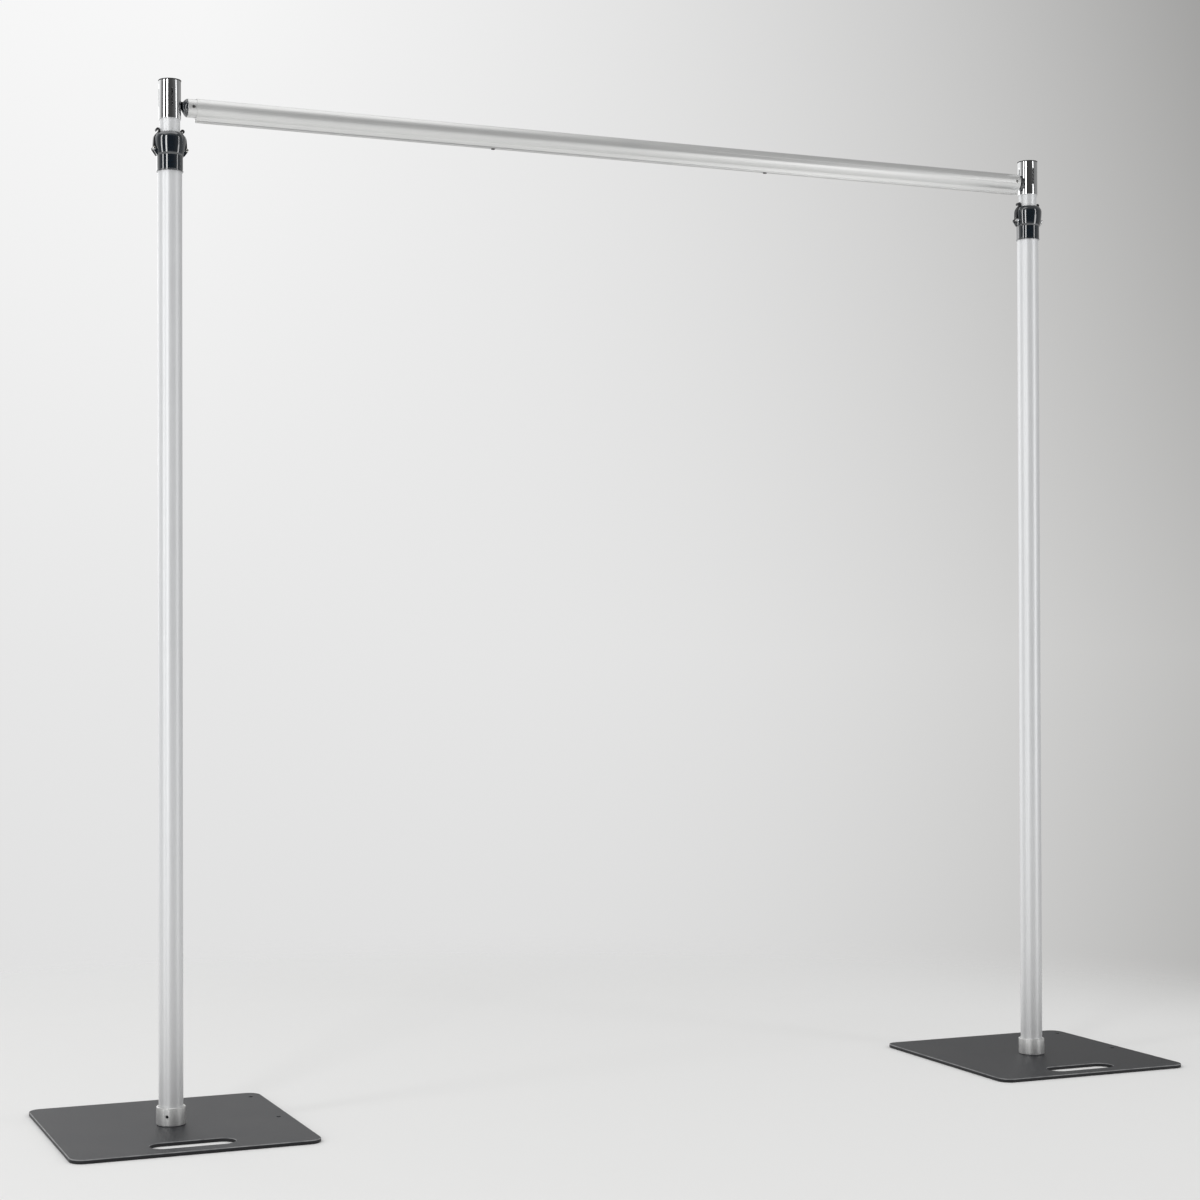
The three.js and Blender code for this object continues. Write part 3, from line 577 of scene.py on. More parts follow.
def rodCutter(radius, start, end, middle, axis, sides=48):
    return turned("cutter", [(0, start), (radius, start), (radius, end), (0, end)], middle, axis, sides)


def barCutter(outline, start, end, place):
    return slab("cutter", [outline], [(0, start), (0, end)], place)


# Turns a piece made at the origin round Z, then moves it in millimetres.
def turnAndPlace(piece, degrees, place):
    turn = Matrix.Rotation(math.radians(degrees), 4, "Z")
    piece.data.transform(Matrix.Translation(Vector(place) * mm) @ turn)


# The radius, bottom and top in millimetres of an upright round node.
def roundSizes(node):
    start, end = reachOf(node, 0)
    return ((end - start) / 2, *reachOf(node, 2))


def basePlate(side, x):
    p, node = plate, f"{side}_base_plate"
    width, top, handRadius = plateEnd - plateStart, reachOf(node, 2)[1], p["slotWidth"] / 2 - 0.01
    loops = [roundedOutline(width, width, p["corner"], steps=16),
             roundedOutline(p["slotLength"], p["slotWidth"], handRadius, 0, p["slotPlace"], 20)]
    loops += [circle(p["pegHole"], pegX, pegY, 32) for pegX, pegY in p["pegPlaces"]]
    piece = slab(f"{side}BasePlate", loops, edgeStations(0, top, p["edge"], 6), flatAt(x, 0, 0))
    boltHole = [(0, -6), (p["boltHead"], -6), (p["boltHead"], p["coneStart"]), (p["boltShank"], p["coneEnd"]),
                (p["boltShank"], top + 6), (0, top + 6)]
    combined(piece, [turned("cutter", boltHole, (x, 0, 0), sides=48)])
    dress(piece, "powderCoat", f"{side}_stand", node)


socket = {"bore": 25.3, "chamfer": 1.4, "mouth": 1.0, "screwHole": 3.3, "screwHeight": 28.3}


def socketRing(side, x, screwAngle):
    radius, bottom, top = roundSizes(f"{side}_socket_ring")
    bore, chamfer, mouth = socket["bore"], socket["chamfer"], socket["mouth"]
    corners = [(bore, bottom), (radius - chamfer, bottom), (radius, bottom + chamfer),
               (radius, top - chamfer), (radius - chamfer, top), (bore + mouth, top), (bore, top - mouth)]
    profile = softened(corners, [0.2, 0.5, 0.6, 0.6, 0.5, 0.4, 0.4])
    piece = turned(f"{side}SocketRing", profile, (x, 0, 0), sides=128)
    hole = rodCutter(socket["screwHole"], 20, 40, (0, 0, 0), "X")
    turnAndPlace(hole, screwAngle, (x, 0, socket["screwHeight"]))
    combined(piece, [hole])
    dress(piece, "turned", f"{side}_stand", f"{side}_socket_ring")


screw = {"radius": 3.0, "tip": 25.3, "face": 28.5, "keyHole": 1.6, "keyDepth": 1.6, "chamfer": 0.4}


def setScrew(side, x, screwAngle):
    radius, tip, face = screw["radius"], screw["tip"], screw["face"]
    profile = softened([(0, tip), (radius, tip), (radius, face), (0, face)], [0, 0.3, screw["chamfer"], 0])
    piece = turned(f"{side}SetScrew", profile, (0, 0, 0), "X", 48)
    combined(piece, [rodCutter(screw["keyHole"], face - screw["keyDepth"], face + 4, (0, 0, 0), "X", 6)])
    turnAndPlace(piece, screwAngle, (x, 0, socket["screwHeight"]))
    dress(piece, "blackSteel", f"{side}_stand", f"{side}_set_screw")


tubeWalls = {"upright": 2.0, "mast": 1.8, "head": 1.7}
tubeEdges = [0.35] * 4


# A tube as long and wide as its node. Edges gives the rounding of the inner and outer edge at the bottom,
# then of the outer and inner one at the top.
def roundTube(name, node, x, wall, edges, sides, steps=4):
    radius, bottom, top = roundSizes(node)
    inner = radius - wall
    corners = [(inner, bottom), (radius, bottom), (radius, top), (inner, top)]
    return turned(name, softened(corners, edges, steps), (x, 0, 0), sides=sides)


slot = {"width": 3.2, "length": 38, "topInset": 16.8, "round": 1.55}


# Two cutters that cross in the axis, for the four slots of the head and of the mast in it.
def headSlots(x, node):
    middle = reachOf(node, 2)[1] - slot["topInset"] - slot["length"] / 2
    outline = roundedOutline(slot["width"], slot["length"], slot["round"], 0, middle, 8)
    return [barCutter(outline, -through, through, place) for place in (sideways(x, 0, 0), endways(x, 0, 0))]


def upright(side, x):
    node = f"{side}_upright_tube"
    piece = roundTube(f"{side}UprightTube", node, x, tubeWalls["upright"], tubeEdges, 128)
    dress(piece, "upright", f"{side}_stand", node)


def mast(side, x):
    node = f"{side}_mast_tube"
    piece = roundTube(f"{side}MastTube", node, x, tubeWalls["mast"], tubeEdges, 96)
    combined(piece, headSlots(x, node))
    dress(piece, "upright", f"{side}_mast", node)


def slottedHead(side, x):
    node = f"{side}_slotted_head"
    piece = roundTube(f"{side}SlottedHead", node, x, tubeWalls["head"], [0.2, 0.6, 0.5, 0.2], 128, 5)
    combined(piece, headSlots(x, node))
    dress(piece, "chrome", f"{side}_mast", node)


cap = {"rim": 1.6, "skirt": 18.9, "skirtWall": 1.8, "skirtLength": 10, "bevel": 2.2, "bevelRise": 0.35}


def headCap(side, x):
    wide, bottom, top = roundSizes(f"{side}_head_cap")
    skirt, hollow, seat = cap["skirt"], cap["skirt"] - cap["skirtWall"], bottom + cap["skirtLength"]
    rim = seat + cap["rim"]
    shoulder = (wide - cap["bevel"], rim + cap["bevelRise"])
    under = softened([(0, seat), (hollow, seat), (hollow, bottom), (skirt, bottom), (skirt, seat),
                      (wide, seat), (wide, rim), shoulder], [0, 0.3, 0.3, 0.4, 0.2, 0.4, 0.7, 0])
    rise = bezier([shoulder, (wide / 2, top), (0, top)], 8)
    piece = turned(f"{side}HeadCap", np.vstack([under, rise[1:]]), (x, 0, 0))
    dress(piece, "blackSatin", f"{side}_mast", f"{side}_head_cap")


collar = {
    "height": 79.8, "bore": 25.3, "mouth": 21.3, "wall": 2.6, "rim": 27.5, "rimTop": 1.9, "rimSlope": 1.0,
    "sleeve": 26.8, "sleeveTop": 32.2, "waist": 28.9, "waistHeight": 32.6, "bellStart": 34.8,
    "flare": 32.6, "flareHeight": 66.5, "shoulder": 24.1, "lip": 2.8, "windowHeight": 43, "halfWindow": 5.5,
    "earThickness": 2.6, "earRadius": 3.6, "earRoot": 4,
}
pin = {"reach": 33.8, "height": 45.5, "radius": 2.0, "head": 3.6, "seat": 8.4, "headHeight": 2.2, "rim": 0.7}


# From the foot up the outside, over the shoulder, and down the inside to the height where the windows start.
def collarProfile():
    c = collar
    waist, flare, shoulder = (c["waist"], c["bellStart"]), (c["flare"], c["flareHeight"]), c["shoulder"]
    top, ceiling, inside = c["height"], c["height"] - c["lip"], c["flare"] - c["wall"]
    halfway, slopeTop = (c["bellStart"] + c["flareHeight"]) / 2, c["rimTop"] + c["rimSlope"]
    foot = softened([(c["bore"], 0), (c["rim"], 0), (c["rim"], c["rimTop"]), (c["sleeve"], slopeTop),
                     (c["sleeve"], c["sleeveTop"]), waist], [0, 0.5, 0.5, 0.6, 1.2, 0])
    bell = bezier([waist, (c["flare"], halfway), flare], 20)
    over = bezier([flare, (c["flare"], (c["flareHeight"] + top) / 2), (shoulder + c["wall"], top),
                   (shoulder, top)], 14)
    mouth = softened([(shoulder, top), (c["mouth"], top), (c["mouth"], ceiling), (shoulder, ceiling)],
                     [0, 0.6, 0.4, 0])
    dome = bezier([(shoulder, ceiling), (inside, ceiling), (inside, c["flareHeight"])], 8)
    end = c["windowHeight"]
    fall = bezier([dome[-1], (inside, halfway), (c["waist"] - c["wall"], end)], 8)
    return np.vstack([foot, bell[1:], over[1:], mouth[1:], dome[1:], fall[1:], [(c["bore"], end)]])


# An ear: round about the pin, run back into the bell, with a straight slope down to the waist.
def earOutline():
    reach, height, radius = pin["reach"], pin["height"], collar["earRadius"]
    root, foot = reach - radius - collar["earRoot"], (collar["waist"], collar["waistHeight"])
    rise = (reach - foot[0], height - foot[1])
    slope = math.degrees(math.atan2(rise[1], rise[0]) - math.asin(radius / math.hypot(*rise)))
    end = arcPoints(reach, height, radius, slope - 90, 90, 16)
    return np.vstack([[(root, foot[1]), foot], end, [(root, height + radius)]])


def pinRoom(x, bottom, facing):
    middle = (x + facing * pin["reach"], 0, bottom + pin["height"])
    return rodCutter(pin["radius"] + clearance, -through, through, middle, "Y")


def slipCollar(side, x, bottom):
    half, thick, start = collar["halfWindow"], collar["earThickness"], collar["windowHeight"]
    piece = turned(f"{side}SlipCollar", collarProfile(), (x, 0, bottom), sides=144)
    ears = [slab("ear", [earOutline()], edgeStations(-thick / 2, thick / 2, 0.4),
                 sideways(x, y * (half + thick / 2), bottom, facing)) for facing in (-1, 1) for y in (-1, 1)]
    combined(piece, ears, "UNION")
    end = collar["height"] + 8
    window = roundedOutline(2 * half, end - start, 0.8, 0, (end + start) / 2, 6)
    windows = [barCutter(window, facing * 4, facing * 50, endways(x, 0, bottom)) for facing in (-1, 1)]
    combined(piece, [pinRoom(x, bottom, facing) for facing in (-1, 1)] + windows)
    dress(piece, "blackGloss", f"{side}_stand", f"{side}_slip_collar")


lever = {
    "width": 10, "thickness": 2.8, "edge": 0.45, "curl": 3, "tabRise": 4.6, "sweep": 205, "springRoom": 3.9,
    "eye": 3.5, "noseBottom": 8, "noseHeight": 8.5, "noseInset": 1, "noseTip": 20.6,
}


# The strap's middle line, in X and Z: up outside the bell, over its shoulder and round the thumb tab's curl.
def strapLine():
    reach, start, half = pin["reach"], pin["height"], lever["thickness"] / 2
    flare, flareHeight, top = collar["flare"], collar["flareHeight"], collar["height"]
    neck, curlHeight, lip = collar["mouth"] + half, top + lever["tabRise"], top - collar["lip"]
    rise = bezier([(reach, start), (reach, (start + flareHeight) / 2), (flare, flareHeight)], 12)
    over = bezier([rise[-1], (flare - half, lip), (neck, lip), (neck, curlHeight)], 16)
    tab = arcPoints(neck + lever["curl"], curlHeight, lever["curl"], 180, 180 - lever["sweep"], 18)
    return np.vstack([rise, over[1:], tab[1:]])


# The strap's outline: the line moved half its thickness to each side, with a round end on the tab.
def strapOutline():
    line = strapLine()
    along = np.gradient(line, axis=0)
    along /= np.linalg.norm(along, axis=1)[:, None]
    off = np.column_stack([along[:, 1], -along[:, 0]]) * lever["thickness"] / 2
    turn = np.linspace(0, math.pi, 9)[1:-1, None]
    end = line[-1] + np.cos(turn) * off[-1] + np.sin(turn) * along[-1] * lever["thickness"] / 2
    return np.vstack([line + off, end, (line - off)[::-1]])


# A strap with an eye on the pin, open on one side for the spring, and a nose that reaches in to the mast.
def lockLever(side, where, facing, x, bottom):
    v, half, reach, height = lever, lever["width"] / 2, pin["reach"], pin["height"]
    place, roomEnd = sideways(x, 0, bottom, facing), v["springRoom"] - half
    piece = slab(f"{side}{where.title()}Lever", [strapOutline()], edgeStations(-half, half, v["edge"]), place)
    combined(piece, [barCutter(circle(v["eye"] + clearance, reach, height, 40), -half - 5, roomEnd, place)])
    eye = slab("eye", [circle(v["eye"], reach, height, 48)], edgeStations(roomEnd, half, v["edge"]), place)
    noseTop, noseWidth = height + v["noseBottom"] + v["noseHeight"], half - v["noseInset"]
    outline = roundedOutline(reach - v["noseTip"], v["noseHeight"], 1.2, (reach + v["noseTip"]) / 2,
                             noseTop - v["noseHeight"] / 2, 6)
    nose = slab("nose", [outline], edgeStations(-noseWidth, noseWidth, 0.4, 3), place)
    combined(piece, [eye, nose], "UNION")
    mastRoom = rodCutter(collar["mouth"], height - 8, noseTop + 8, (x, 0, bottom), "Z", 96)
    combined(piece, [mastRoom, pinRoom(x, bottom, facing)])
    dress(piece, "blackSatin", f"{side}_{where}_lock", f"{side}_{where}_lever")


def leverPin(side, where, facing, x, bottom):
    radius, head, seat, top = pin["radius"], pin["head"], pin["seat"], pin["seat"] + pin["headHeight"]
    rim = (head, seat + pin["rim"])
    under = softened([(radius, 0), (radius, seat), (head, seat), rim], [0, 0, 0.25, 0], 4)
    half = np.vstack([under[1:], bezier([rim, (head * 0.9, top), (0, top)], 8)[1:]])
    piece = turned(f"{side}{where.title()}LeverPin", np.vstack([half[::-1] * (1, -1), half]),
                   (x + facing * pin["reach"], 0, bottom + pin["height"]), "Y", 48)
    dress(piece, "zinc", f"{side}_stand", f"{side}_{where}_lever_pin")


# A round wire carried along a path: each ring stands square to the path, turned as little as may be.
def wirePiece(name, path, radius, sides=10):
    ahead = np.gradient(path, axis=0)
    ahead /= np.linalg.norm(ahead, axis=1)[:, None]
    side = np.cross(ahead[0], (0.3, 0.9, 0.2))
    frames = []
    for t in ahead:                       # carries the first side direction along the path
        side = side - t * (side @ t)
        side = side / np.linalg.norm(side)
        frames.append((side, np.cross(t, side)))
    across, over = np.array(frames).transpose(1, 0, 2)[:, :, None]
    angle = (np.arange(sides) * 2 * math.pi / sides)[:, None]
    points = path[:, None] + radius * (np.cos(angle) * across + np.sin(angle) * over)
    points = np.vstack([points.reshape(-1, 3), path[0], path[-1]])
    faceSets = [gridFaces(len(path), sides, False, True)] + poleFaces(len(path), sides)
    return makePiece(name, points, faceSets, 60)


coil = {"wire": 0.35, "turns": 2.25, "pitch": 1.15, "foot": 2.8, "arm": 4.4}


# Torsion spring: a foot inwards, the coil round the pin, and an arm up behind the strap.
def leverSpring(side, where, facing, x, bottom):
    radius = pin["radius"] + clearance + coil["wire"]
    start = lever["width"] / 2 - lever["springRoom"] + clearance + coil["wire"]
    share = np.linspace(0, 1, int(coil["turns"] * 32) + 1)
    angle = share * 2 * math.pi * coil["turns"] - math.pi / 2
    turns = np.column_stack([pin["reach"] + radius * np.cos(angle),
                             start + coil["pitch"] * coil["turns"] * share,
                             pin["height"] + radius * np.sin(angle)])
    foot = turns[0] + np.linspace(1, 0.08, 6)[:, None] * np.array([-coil["foot"], 0, 0])
    arm = turns[-1] + np.linspace(0.06, 1, 8)[:, None] * np.array([0, 0, coil["arm"]])
    path = np.vstack([foot, turns, arm]) * (facing, facing, 1) + (x, 0, bottom)
    piece = wirePiece(f"{side}{where.title()}LeverSpring", path, coil["wire"])
    dress(piece, "zinc", f"{side}_stand", f"{side}_{where}_lever_spring")


standX = {side: sum(reachOf(f"{side}_upright_tube", 0)) / 2 for side in ("left", "right")}
for side, towardsBar, screwAngle in (("left", 1, -119), ("right", -1, 61)):
    x, bottom = standX[side], reachOf(f"{side}_slip_collar", 2)[0]
    basePlate(side, x)
    socketRing(side, x, screwAngle)
    setScrew(side, x, screwAngle)
    upright(side, x)
    mast(side, x)
    slottedHead(side, x)
    headCap(side, x)
    slipCollar(side, x, bottom)
    for where, facing in (("inner", towardsBar), ("outer", -towardsBar)):
        lockLever(side, where, facing, x, bottom)
        leverPin(side, where, facing, x, bottom)
        leverSpring(side, where, facing, x, bottom)
    print(side, "stand made")

bar = {
    "radius": 20.3, "wall": 1.1, "innerRadius": 18.9, "innerWall": 1.2, "edge": 0.25, "innerEdge": 0.3,
    "webSpread": 4.3, "webLean": 0.42, "lipHeight": 2.9, "lipStep": 0.2, "trackWidth": 12, "trackDepth": 7.7,
    "trackSide": 1.5, "trackLip": 1.5, "trackMouth": 3.6, "screwInset": 11, "screwHole": 3.5,
}
barHeight = sum(reachOf("inner_bar_tube", 2)) / 2


# Section of the outer tube in Y and Z: a ring that runs out into two sloping webs, with a C-shaped track
# between their upright lips, mouth down.
def trackSection():
    half, radius = bar["trackWidth"] / 2, bar["radius"]
    inside, mouth = half - bar["trackSide"], bar["trackMouth"] / 2
    floor = -radius - bar["trackDepth"]
    lipTop, lipEdge = floor + bar["trackLip"], floor + bar["lipHeight"]
    ceiling = -math.sqrt(radius**2 - inside**2)
    joinAngle = math.acos((half + bar["webSpread"]) / radius)
    around = arcPoints(0, 0, radius, -math.degrees(joinAngle), 180 + math.degrees(joinAngle), 150)
    join, foot = around[-1], np.array([-half + bar["lipStep"], lipEdge])
    tangent = np.array([math.sin(joinAngle), -math.cos(joinAngle)])      # of the tube, down and inwards
    slope = np.array([math.sin(bar["webLean"]), -math.cos(bar["webLean"])])
    run = np.linalg.solve(np.column_stack([tangent, slope]), foot - join)
    web = bezier([join, join + run[0] * tangent, foot], 9)
    leg = softened([foot, (-half, lipEdge - 0.3), (-half, floor), (-mouth, floor), (-mouth, lipTop),
                    (-inside, lipTop), (-inside, ceiling - 0.3)], [0, 0.15, 0.25, 0.4, 0.3, 0.3, 0], 4)
    leftLeg = np.vstack([web, leg[1:]])
    insideAngle = math.degrees(math.acos(inside / radius))
    under = arcPoints(0, 0, radius, 180 + insideAngle, 360 - insideAngle, 12)
    return np.vstack([around[:-1], leftLeg, under, (leftLeg * (-1, 1))[::-1][:-1]])


def outerBar():
    start, end = reachOf("outer_bar_tube", 0)
    piece = slab("outerBarTube", [trackSection(), circle(bar["radius"] - bar["wall"], count=120)],
                 edgeStations(start, end, bar["edge"], 3), endways(0, 0, barHeight))
    hole = (end - bar["screwInset"], 0, barHeight)
    combined(piece, [rodCutter(bar["screwHole"], -through, through, hole, "Y")])
    dress(piece, "bar", "crossbar_outer", "outer_bar_tube")


def innerBar():
    start, end = reachOf("inner_bar_tube", 0)
    radius, inner = bar["innerRadius"], bar["innerRadius"] - bar["innerWall"]
    corners = [(inner, start), (radius, start), (radius, end), (inner, end)]
    piece = turned("innerBarTube", softened(corners, [bar["innerEdge"]] * 4, 4), (0, 0, barHeight), "X", 120)
    hole = (start + bar["screwInset"], 0, barHeight)
    combined(piece, [rodCutter(bar["screwHole"], -through, through, hole, "Y")])
    dress(piece, "bar", "crossbar_inner", "inner_bar_tube")


plug = {
    "shank": 30, "flat": 3.0, "screw": 2.5, "screwHead": 3.2, "headHeight": 1.6, "headRim": 0.7,
    "recess": 0.8, "crossWidth": 1.0, "crossLength": 3.8, "crossDepth": 1.1,
}
hook = {
    "thickness": 2.6, "neck": 15, "lipDepth": 10, "lipWidth": 5.4, "corner": 2.4, "tang": 16,
    "tangLength": 24, "headInside": 18.9, "headOutside": 23.3,
    "drop": 3.5,      # from the bar's axis to the slot's floor
}


# Domed plug: a stub in the tube and a shallow dome on its end, cut for the hook's blade and the cross screw.
def endPlug(side, body, tubeEnd, tubeRadius, bore, facing):
    tip = reachOf(f"{side}_end_plug", 0)[1 if facing > 0 else 0]
    height, flat, shank = abs(tip - tubeEnd) - clearance, plug["flat"], bore - clearance
    ball = (tubeRadius**2 + height**2 - flat**2) / (2 * height)
    r = flat + (tubeRadius - flat) * np.cos(np.linspace(0, math.pi / 2, 22))
    rise = np.sqrt(np.maximum(ball**2 + flat**2 - r**2, 0)) - ball + height
    dome = np.column_stack([r, clearance + np.maximum(rise, 0)])
    stub = softened([(0, -plug["shank"]), (shank, -plug["shank"]), (shank, clearance)], [0, 0.8, 0])
    profile = np.vstack([stub, dome, [(0, height + clearance)]]) * (1, facing)
    piece = turned(f"{side}EndPlug", profile, (tubeEnd, 0, barHeight), "X", 96)
    width, screwX = hook["thickness"] + 2 * clearance, tubeEnd - facing * bar["screwInset"]
    place = endways(0, 0, barHeight)
    neck = roundedOutline(width, hook["neck"] + 2 * clearance, 0.5, 0, hook["neck"] / 2 - hook["drop"], 5)
    tang = roundedOutline(width, hook["tang"] + 2 * clearance, 0.3, 0, 0, 4)
    combined(piece, [barCutter(neck, screwX, tubeEnd + facing * (height + 8), place)])
    cutters = [barCutter(tang, tubeEnd, tubeEnd - facing * (hook["tangLength"] + 8), place)]
    seat = tubeRadius - plug["recess"] - plug["headHeight"] - clearance
    rods = [(plug["screw"], -through, through), (plug["screwHead"], -seat, -through),
            (plug["screwHead"], seat, through)]
    for radius, start, end in rods:        # the screw's way through, and room for its two heads
        cutters.append(rodCutter(radius + clearance, start, end, (screwX, 0, barHeight), "Y"))
    combined(piece, cutters)
    dress(piece, "blackGloss", body, f"{side}_end_plug")


# Cross screw: pan heads in both tube walls, each with a cross recess.
def plugScrew(side, body, x):
    face = reachOf(f"{side}_plug_screw", 1)[1]
    wide, neck = plug["screwHead"], face - plug["headHeight"]
    dome = bezier([(wide, neck + plug["headRim"]), (wide * 0.85, face), (0, face)], 7)
    half = np.vstack([[(plug["screw"], neck), (wide, neck)], dome])
    piece = turned(f"{side}PlugScrew", np.vstack([half[::-1] * (1, -1), half]), (x, 0, barHeight), "Y", 48)
    arms = [roundedOutline(plug[a], plug[b], 0.2, 0, 0, 3)
            for a, b in (("crossWidth", "crossLength"), ("crossLength", "crossWidth"))]
    for s in (-1, 1):
        stations = [(0.35, -s * (face - plug["crossDepth"])), (0, -s * (face + 2))]
        combined(piece, [slab("cutter", [arm], stations, sideways(x, 0, barHeight)) for arm in arms])
    # painted shade: the screw heads sit in recesses, so they take the zinc copy painted darker
    dress(piece, "shadedZinc", body, f"{side}_plug_screw")


# Hook blade: a lip that drops behind the head's wall, a neck through the slot and a tang in the plug. Gap is
# how far the bar's end stands from the mast's axis.
def hookBlade(side, body, x, gap, facing):
    inside, outside, corner, lip = hook["headInside"], hook["headOutside"], hook["corner"], -hook["lipDepth"]
    tip, top, tangEnd = inside - hook["lipWidth"], hook["neck"] + clearance, gap + hook["tangLength"]
    tangTop, tangFoot = hook["drop"] + hook["tang"] / 2, hook["drop"] - hook["tang"] / 2
    corners = [(inside, clearance), (inside, lip), (tip, lip), (tip, top), (gap, top),
               (gap + corner, tangTop), (tangEnd, tangTop), (tangEnd, tangFoot), (gap + corner, tangFoot),
               (gap, clearance), (outside, clearance)]
    outline = softened(corners, [0.6, 1.9, 1.9, 2.2, 0.4, 0.4, 1.0, 1.0, 0.4, 0.4, 0], 6)
    half = hook["thickness"] / 2
    piece = slab(f"{side}Hook", [outline], edgeStations(-half, half, 0.35),
                 sideways(x, 0, barHeight - hook["drop"], facing))
    screwX = x + facing * (gap + bar["screwInset"])
    combined(piece, [rodCutter(plug["screw"] + clearance, -through, through, (screwX, 0, barHeight), "Y")])
    dress(piece, "blackSteel", body, f"{side}_hook")


stop = {      # half widths, then heights from the bar's axis
    "inside": 4.2, "neck": 1.5, "foot": 3.0, "top": -20.6, "lipTop": -26.2, "under": -28.3, "sole": -30.0,
}


def trackStop(side):
    s = stop
    half = np.array([(s["inside"], s["top"]), (s["inside"], s["lipTop"]), (s["neck"], s["lipTop"]),
                     (s["neck"], s["under"]), (s["foot"], s["under"]), (s["foot"], s["sole"])])
    radii = [0.3, 0.3, 0, 0, 0.3, 0.5]
    outline = softened(np.vstack([half * (-1, 1), half[::-1]]), radii + radii[::-1], 4)
    piece = slab(f"{side}TrackStop", [outline], edgeStations(*reachOf(f"{side}_track_stop", 0), 0.3, 3),
                 endways(0, 0, barHeight))
    dress(piece, "blackSatin", "crossbar_outer", f"{side}_track_stop")


outerBar()
innerBar()
leftEnd, rightEnd = reachOf("inner_bar_tube", 0)[0], reachOf("outer_bar_tube", 0)[1]
endPlug("left", "crossbar_inner", leftEnd, bar["innerRadius"], bar["innerRadius"] - bar["innerWall"], -1)
endPlug("right", "crossbar_outer", rightEnd, bar["radius"], bar["radius"] - bar["wall"], 1)
plugScrew("left", "crossbar_inner", leftEnd + bar["screwInset"])
plugScrew("right", "crossbar_outer", rightEnd - bar["screwInset"])
hookBlade("left", "crossbar_inner", standX["left"], leftEnd - standX["left"], 1)
hookBlade("right", "crossbar_outer", standX["right"], standX["right"] - rightEnd, -1)
trackStop("left")
trackStop("right")
print("crossbar made")

# CAD nodes that stay: pieces hidden in the tubes and under the plates, each with its own finish.
hiddenNodes = {
    "zinc": ["left_spigot", "right_spigot", "left_spigot_bolt", "right_spigot_bolt"],
    "blackSatin": ["left_upper_bush", "right_upper_bush", "left_mast_guide", "right_mast_guide",
                   "inner_bar_guide"],
}
for look, names in hiddenNodes.items():
    for name in names:
        paint(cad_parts[name], look)
print("hidden nodes painted")

floorLook = {      # in metres; it fades between two distances from the middle
    "half": 9.0, "drop": 0.0002, "middle": (-0.6, -0.9), "fade": (2.3, 3.8), "colour": (0.77, 0.77, 0.765, 1),
}


# Pale floor that thins out to the surroundings, so that it has no visible edge.
def makeFloor():
    half, (middleX, middleY) = floorLook["half"], floorLook["middle"]
    corners = [(-half, -half, 0), (half, -half, 0), (half, half, 0), (-half, half, 0)]
    mesh = bpy.data.meshes.new("floor")
    mesh.from_pydata(corners, [], [(0, 1, 2, 3)])
    floor = bpy.data.objects.new("floor", mesh)
    floor.location.z = -floorLook["drop"]
    scene.collection.objects.link(floor)
    material, place, _ = startMaterial("pale studio floor", Base_Color=floorLook["colour"], Roughness=0.75,
                                       Specular_IOR_Level=0.25)
    x, y, _ = place.axes()
    fade = (x - middleX).span(y - middleY).step(*floorLook["fade"])
    nodes = material.node_tree.nodes
    solid = Signal(material.node_tree, nodes["Principled BSDF"].outputs[0])
    clear = fade.node("ShaderNodeBsdfTransparent")
    mixed = fade.node("ShaderNodeMixShader", None, {0: fade, 1: solid, 2: clear})
    material.node_tree.links.new(mixed.socket, nodes["Material Output"].inputs["Surface"])
    mesh.materials.append(material)


# Brightness of the surroundings. Angles are in degrees, and compass ones turn from +Y towards +X.
surroundings = {
    "wall": 0.80, "ground": 0.78, "groundStart": -8, "groundEnd": -15,
    "shade": 0.45, "shadeWay": 50, "shadeWidth": 15.0, "cornerTint": (1.008, 1.0, 0.975, 1),
    "leftRise": 0.008, "rightRise": -0.0115, "riseFrom": 14, "riseTo": 42, "riseTop": 18, "lowRise": 0.006,
    "roomWay": 20, "openWay": 2, "behindLens": 0.05, "sideWall": 0.24, "fill": 0.74,
    "ceiling": 0.27, "ceilingStart": 25, "ceilingEnd": 55, "frontFloorStart": -8, "frontFloorEnd": -26,
}


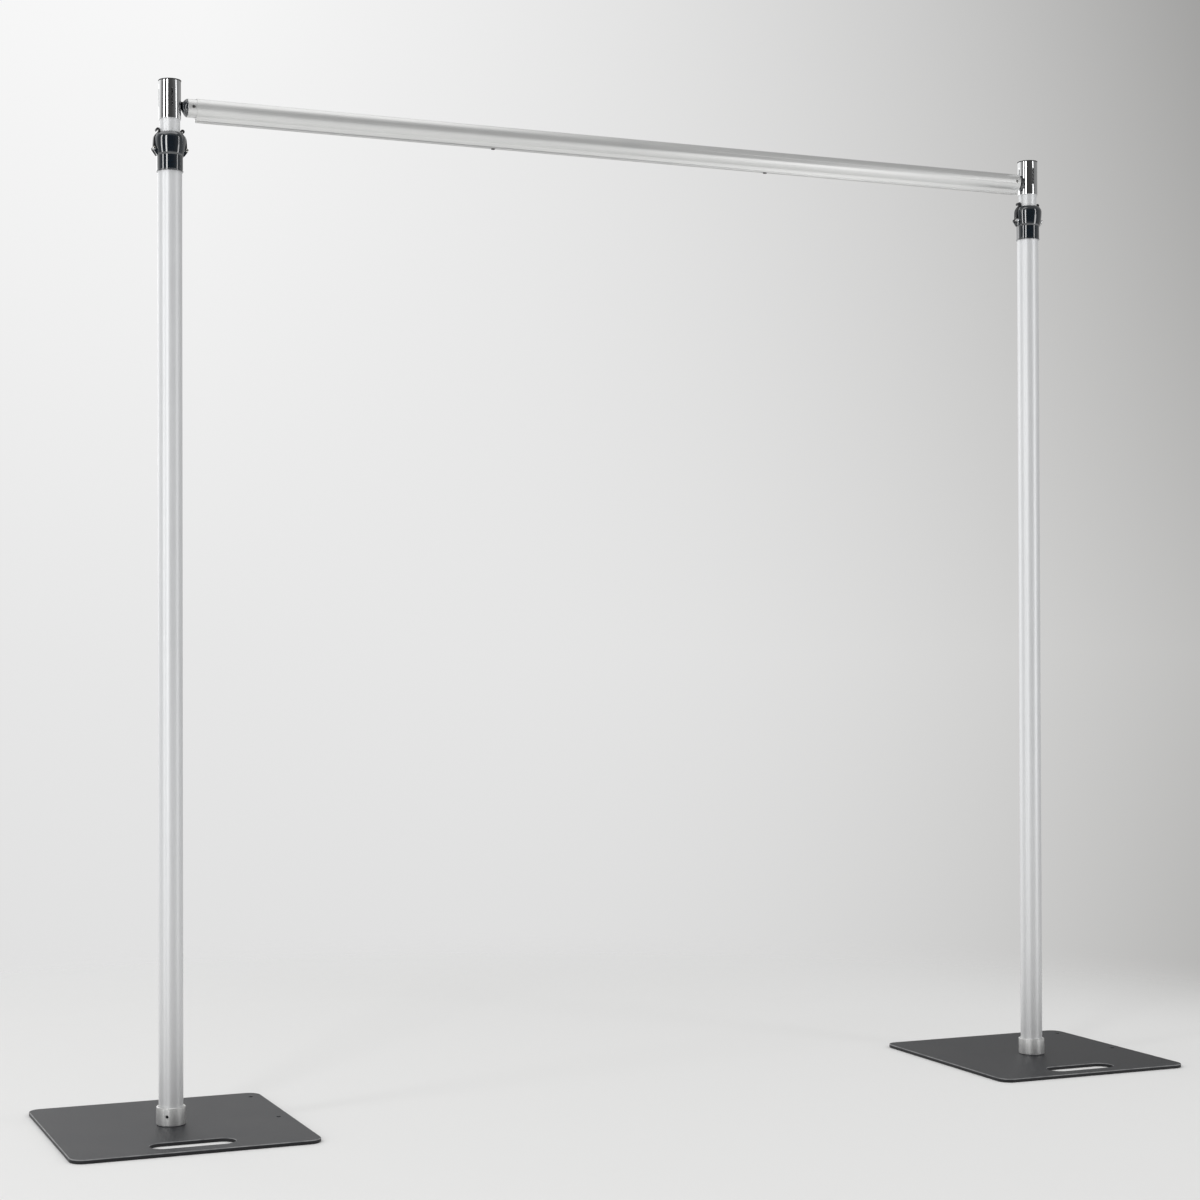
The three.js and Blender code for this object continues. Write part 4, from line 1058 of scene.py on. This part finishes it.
# The camera sees a pale wall, darker towards the far right corner, over a pale ground. Polished surfaces see
# that wall behind the object, a dim room at the sides and a dark one behind the camera. Other light is even.
def makeSurroundings():
    s = surroundings
    world = bpy.data.worlds.new("studio")
    scene.world = world
    world.use_nodes = True
    tree = world.node_tree
    rays = tree.nodes.new("ShaderNodeLightPath").outputs
    seen, glossy = Signal(tree, rays["Is Camera Ray"]), Signal(tree, rays["Is Glossy Ray"])
    x, y, z = Signal(tree, tree.nodes.new("ShaderNodeTexCoord").outputs["Generated"]).axes()
    compass = x.maths("ARCTAN2", x, y) * (180 / math.pi)
    height = z.maths("ARCSINE", z) * (180 / math.pi)

    corner = ((compass - s["shadeWay"]) / s["shadeWidth"]).bell()
    rise = compass.node("ShaderNodeMapRange", None,
                        {"Value": compass, "From Min": s["riseFrom"], "From Max": s["riseTo"],
                         "To Min": s["leftRise"], "To Max": s["rightRise"]})
    above = height.larger(0).smaller(s["riseTop"]) * rise
    below = height.smaller(0).larger(s["groundStart"]) * s["lowRise"]
    wall = above + below - corner * s["shade"] + s["wall"]
    pale = height.step(s["groundStart"], s["groundEnd"]).between(wall, s["ground"])

    depth, opening = (x * math.sin(math.radians(a)) + y * math.cos(math.radians(a))
                      for a in (s["roomWay"], s["openWay"]))
    room = depth.step(-1, 0.1).between(s["behindLens"], s["sideWall"])
    level = opening.step(0.15, 0.75).between(room, wall)
    level = height.step(s["ceilingStart"], s["ceilingEnd"]).between(level, s["ceiling"])
    mirrored = height.step(s["frontFloorStart"], s["frontFloorEnd"]).between(level, s["ground"])

    brightness = seen.between(glossy.between(s["fill"], mirrored), pale)
    tint = corner.blend((1, 1, 1, 1), s["cornerTint"])
    colour = tint.node("ShaderNodeVectorMath", {"operation": "SCALE"}, {0: tint, "Scale": brightness})
    tree.links.new(colour.socket, tree.nodes["Background"].inputs["Color"])
    tree.nodes["Background"].inputs["Strength"].default_value = 1.0


# Each lamp's place and aim, its panel's width and height, in metres, and the brightness of the panel's face.
lamps = {
    "sideStrip": {"place": (-5.74, -1.26, 2.8), "aim": (-0.6, 0, 2.8), "size": (0.84, 5.6), "glow": 4.0},
    "keyStrip": {"place": (-4.43, -4.18, 2.7), "aim": (-0.3, 0, 2.7), "size": (1.01, 5.4), "glow": 5.0},
    "farStrip": {"place": (2.80, -2.66, 1.12), "aim": (0.4, 0, 1.12), "size": (0.84, 2.24), "glow": 2.7},
    "farStripTop": {"place": (2.80, -2.66, 3.3), "aim": (0.4, 0, 3.3), "size": (0.45, 2.1), "glow": 3.0},
    "overhead": {"place": (-1.2, 0.2, 4.2), "aim": (-1.2, 0.2, 0), "size": (3.2, 2.6), "glow": 0.9},
    "backPanel": {"place": (-1.8, 4.2, 2.2), "aim": (0, 0, 0.9), "size": (1.8, 2.2), "glow": 1.3},
}


def makeLamps():
    for name, lamp in lamps.items():
        width, height = lamp["size"]
        data = bpy.data.lights.new(name, "AREA")
        data.shape, data.size, data.size_y = "RECTANGLE", width, height
        data.energy = lamp["glow"] * math.pi * width * height
        light = bpy.data.objects.new(name, data)
        scene.collection.objects.link(light)
        aim = Vector(lamp["aim"]) - Vector(lamp["place"])
        light.rotation_mode = "QUATERNION"
        light.rotation_quaternion = aim.to_track_quat("-Z", "Y")
        light.location = lamp["place"]
        light.visible_camera = False


makeFloor()
makeSurroundings()
makeLamps()
scene.view_settings.view_transform = "Standard"
print("floor, surroundings and lamps made")
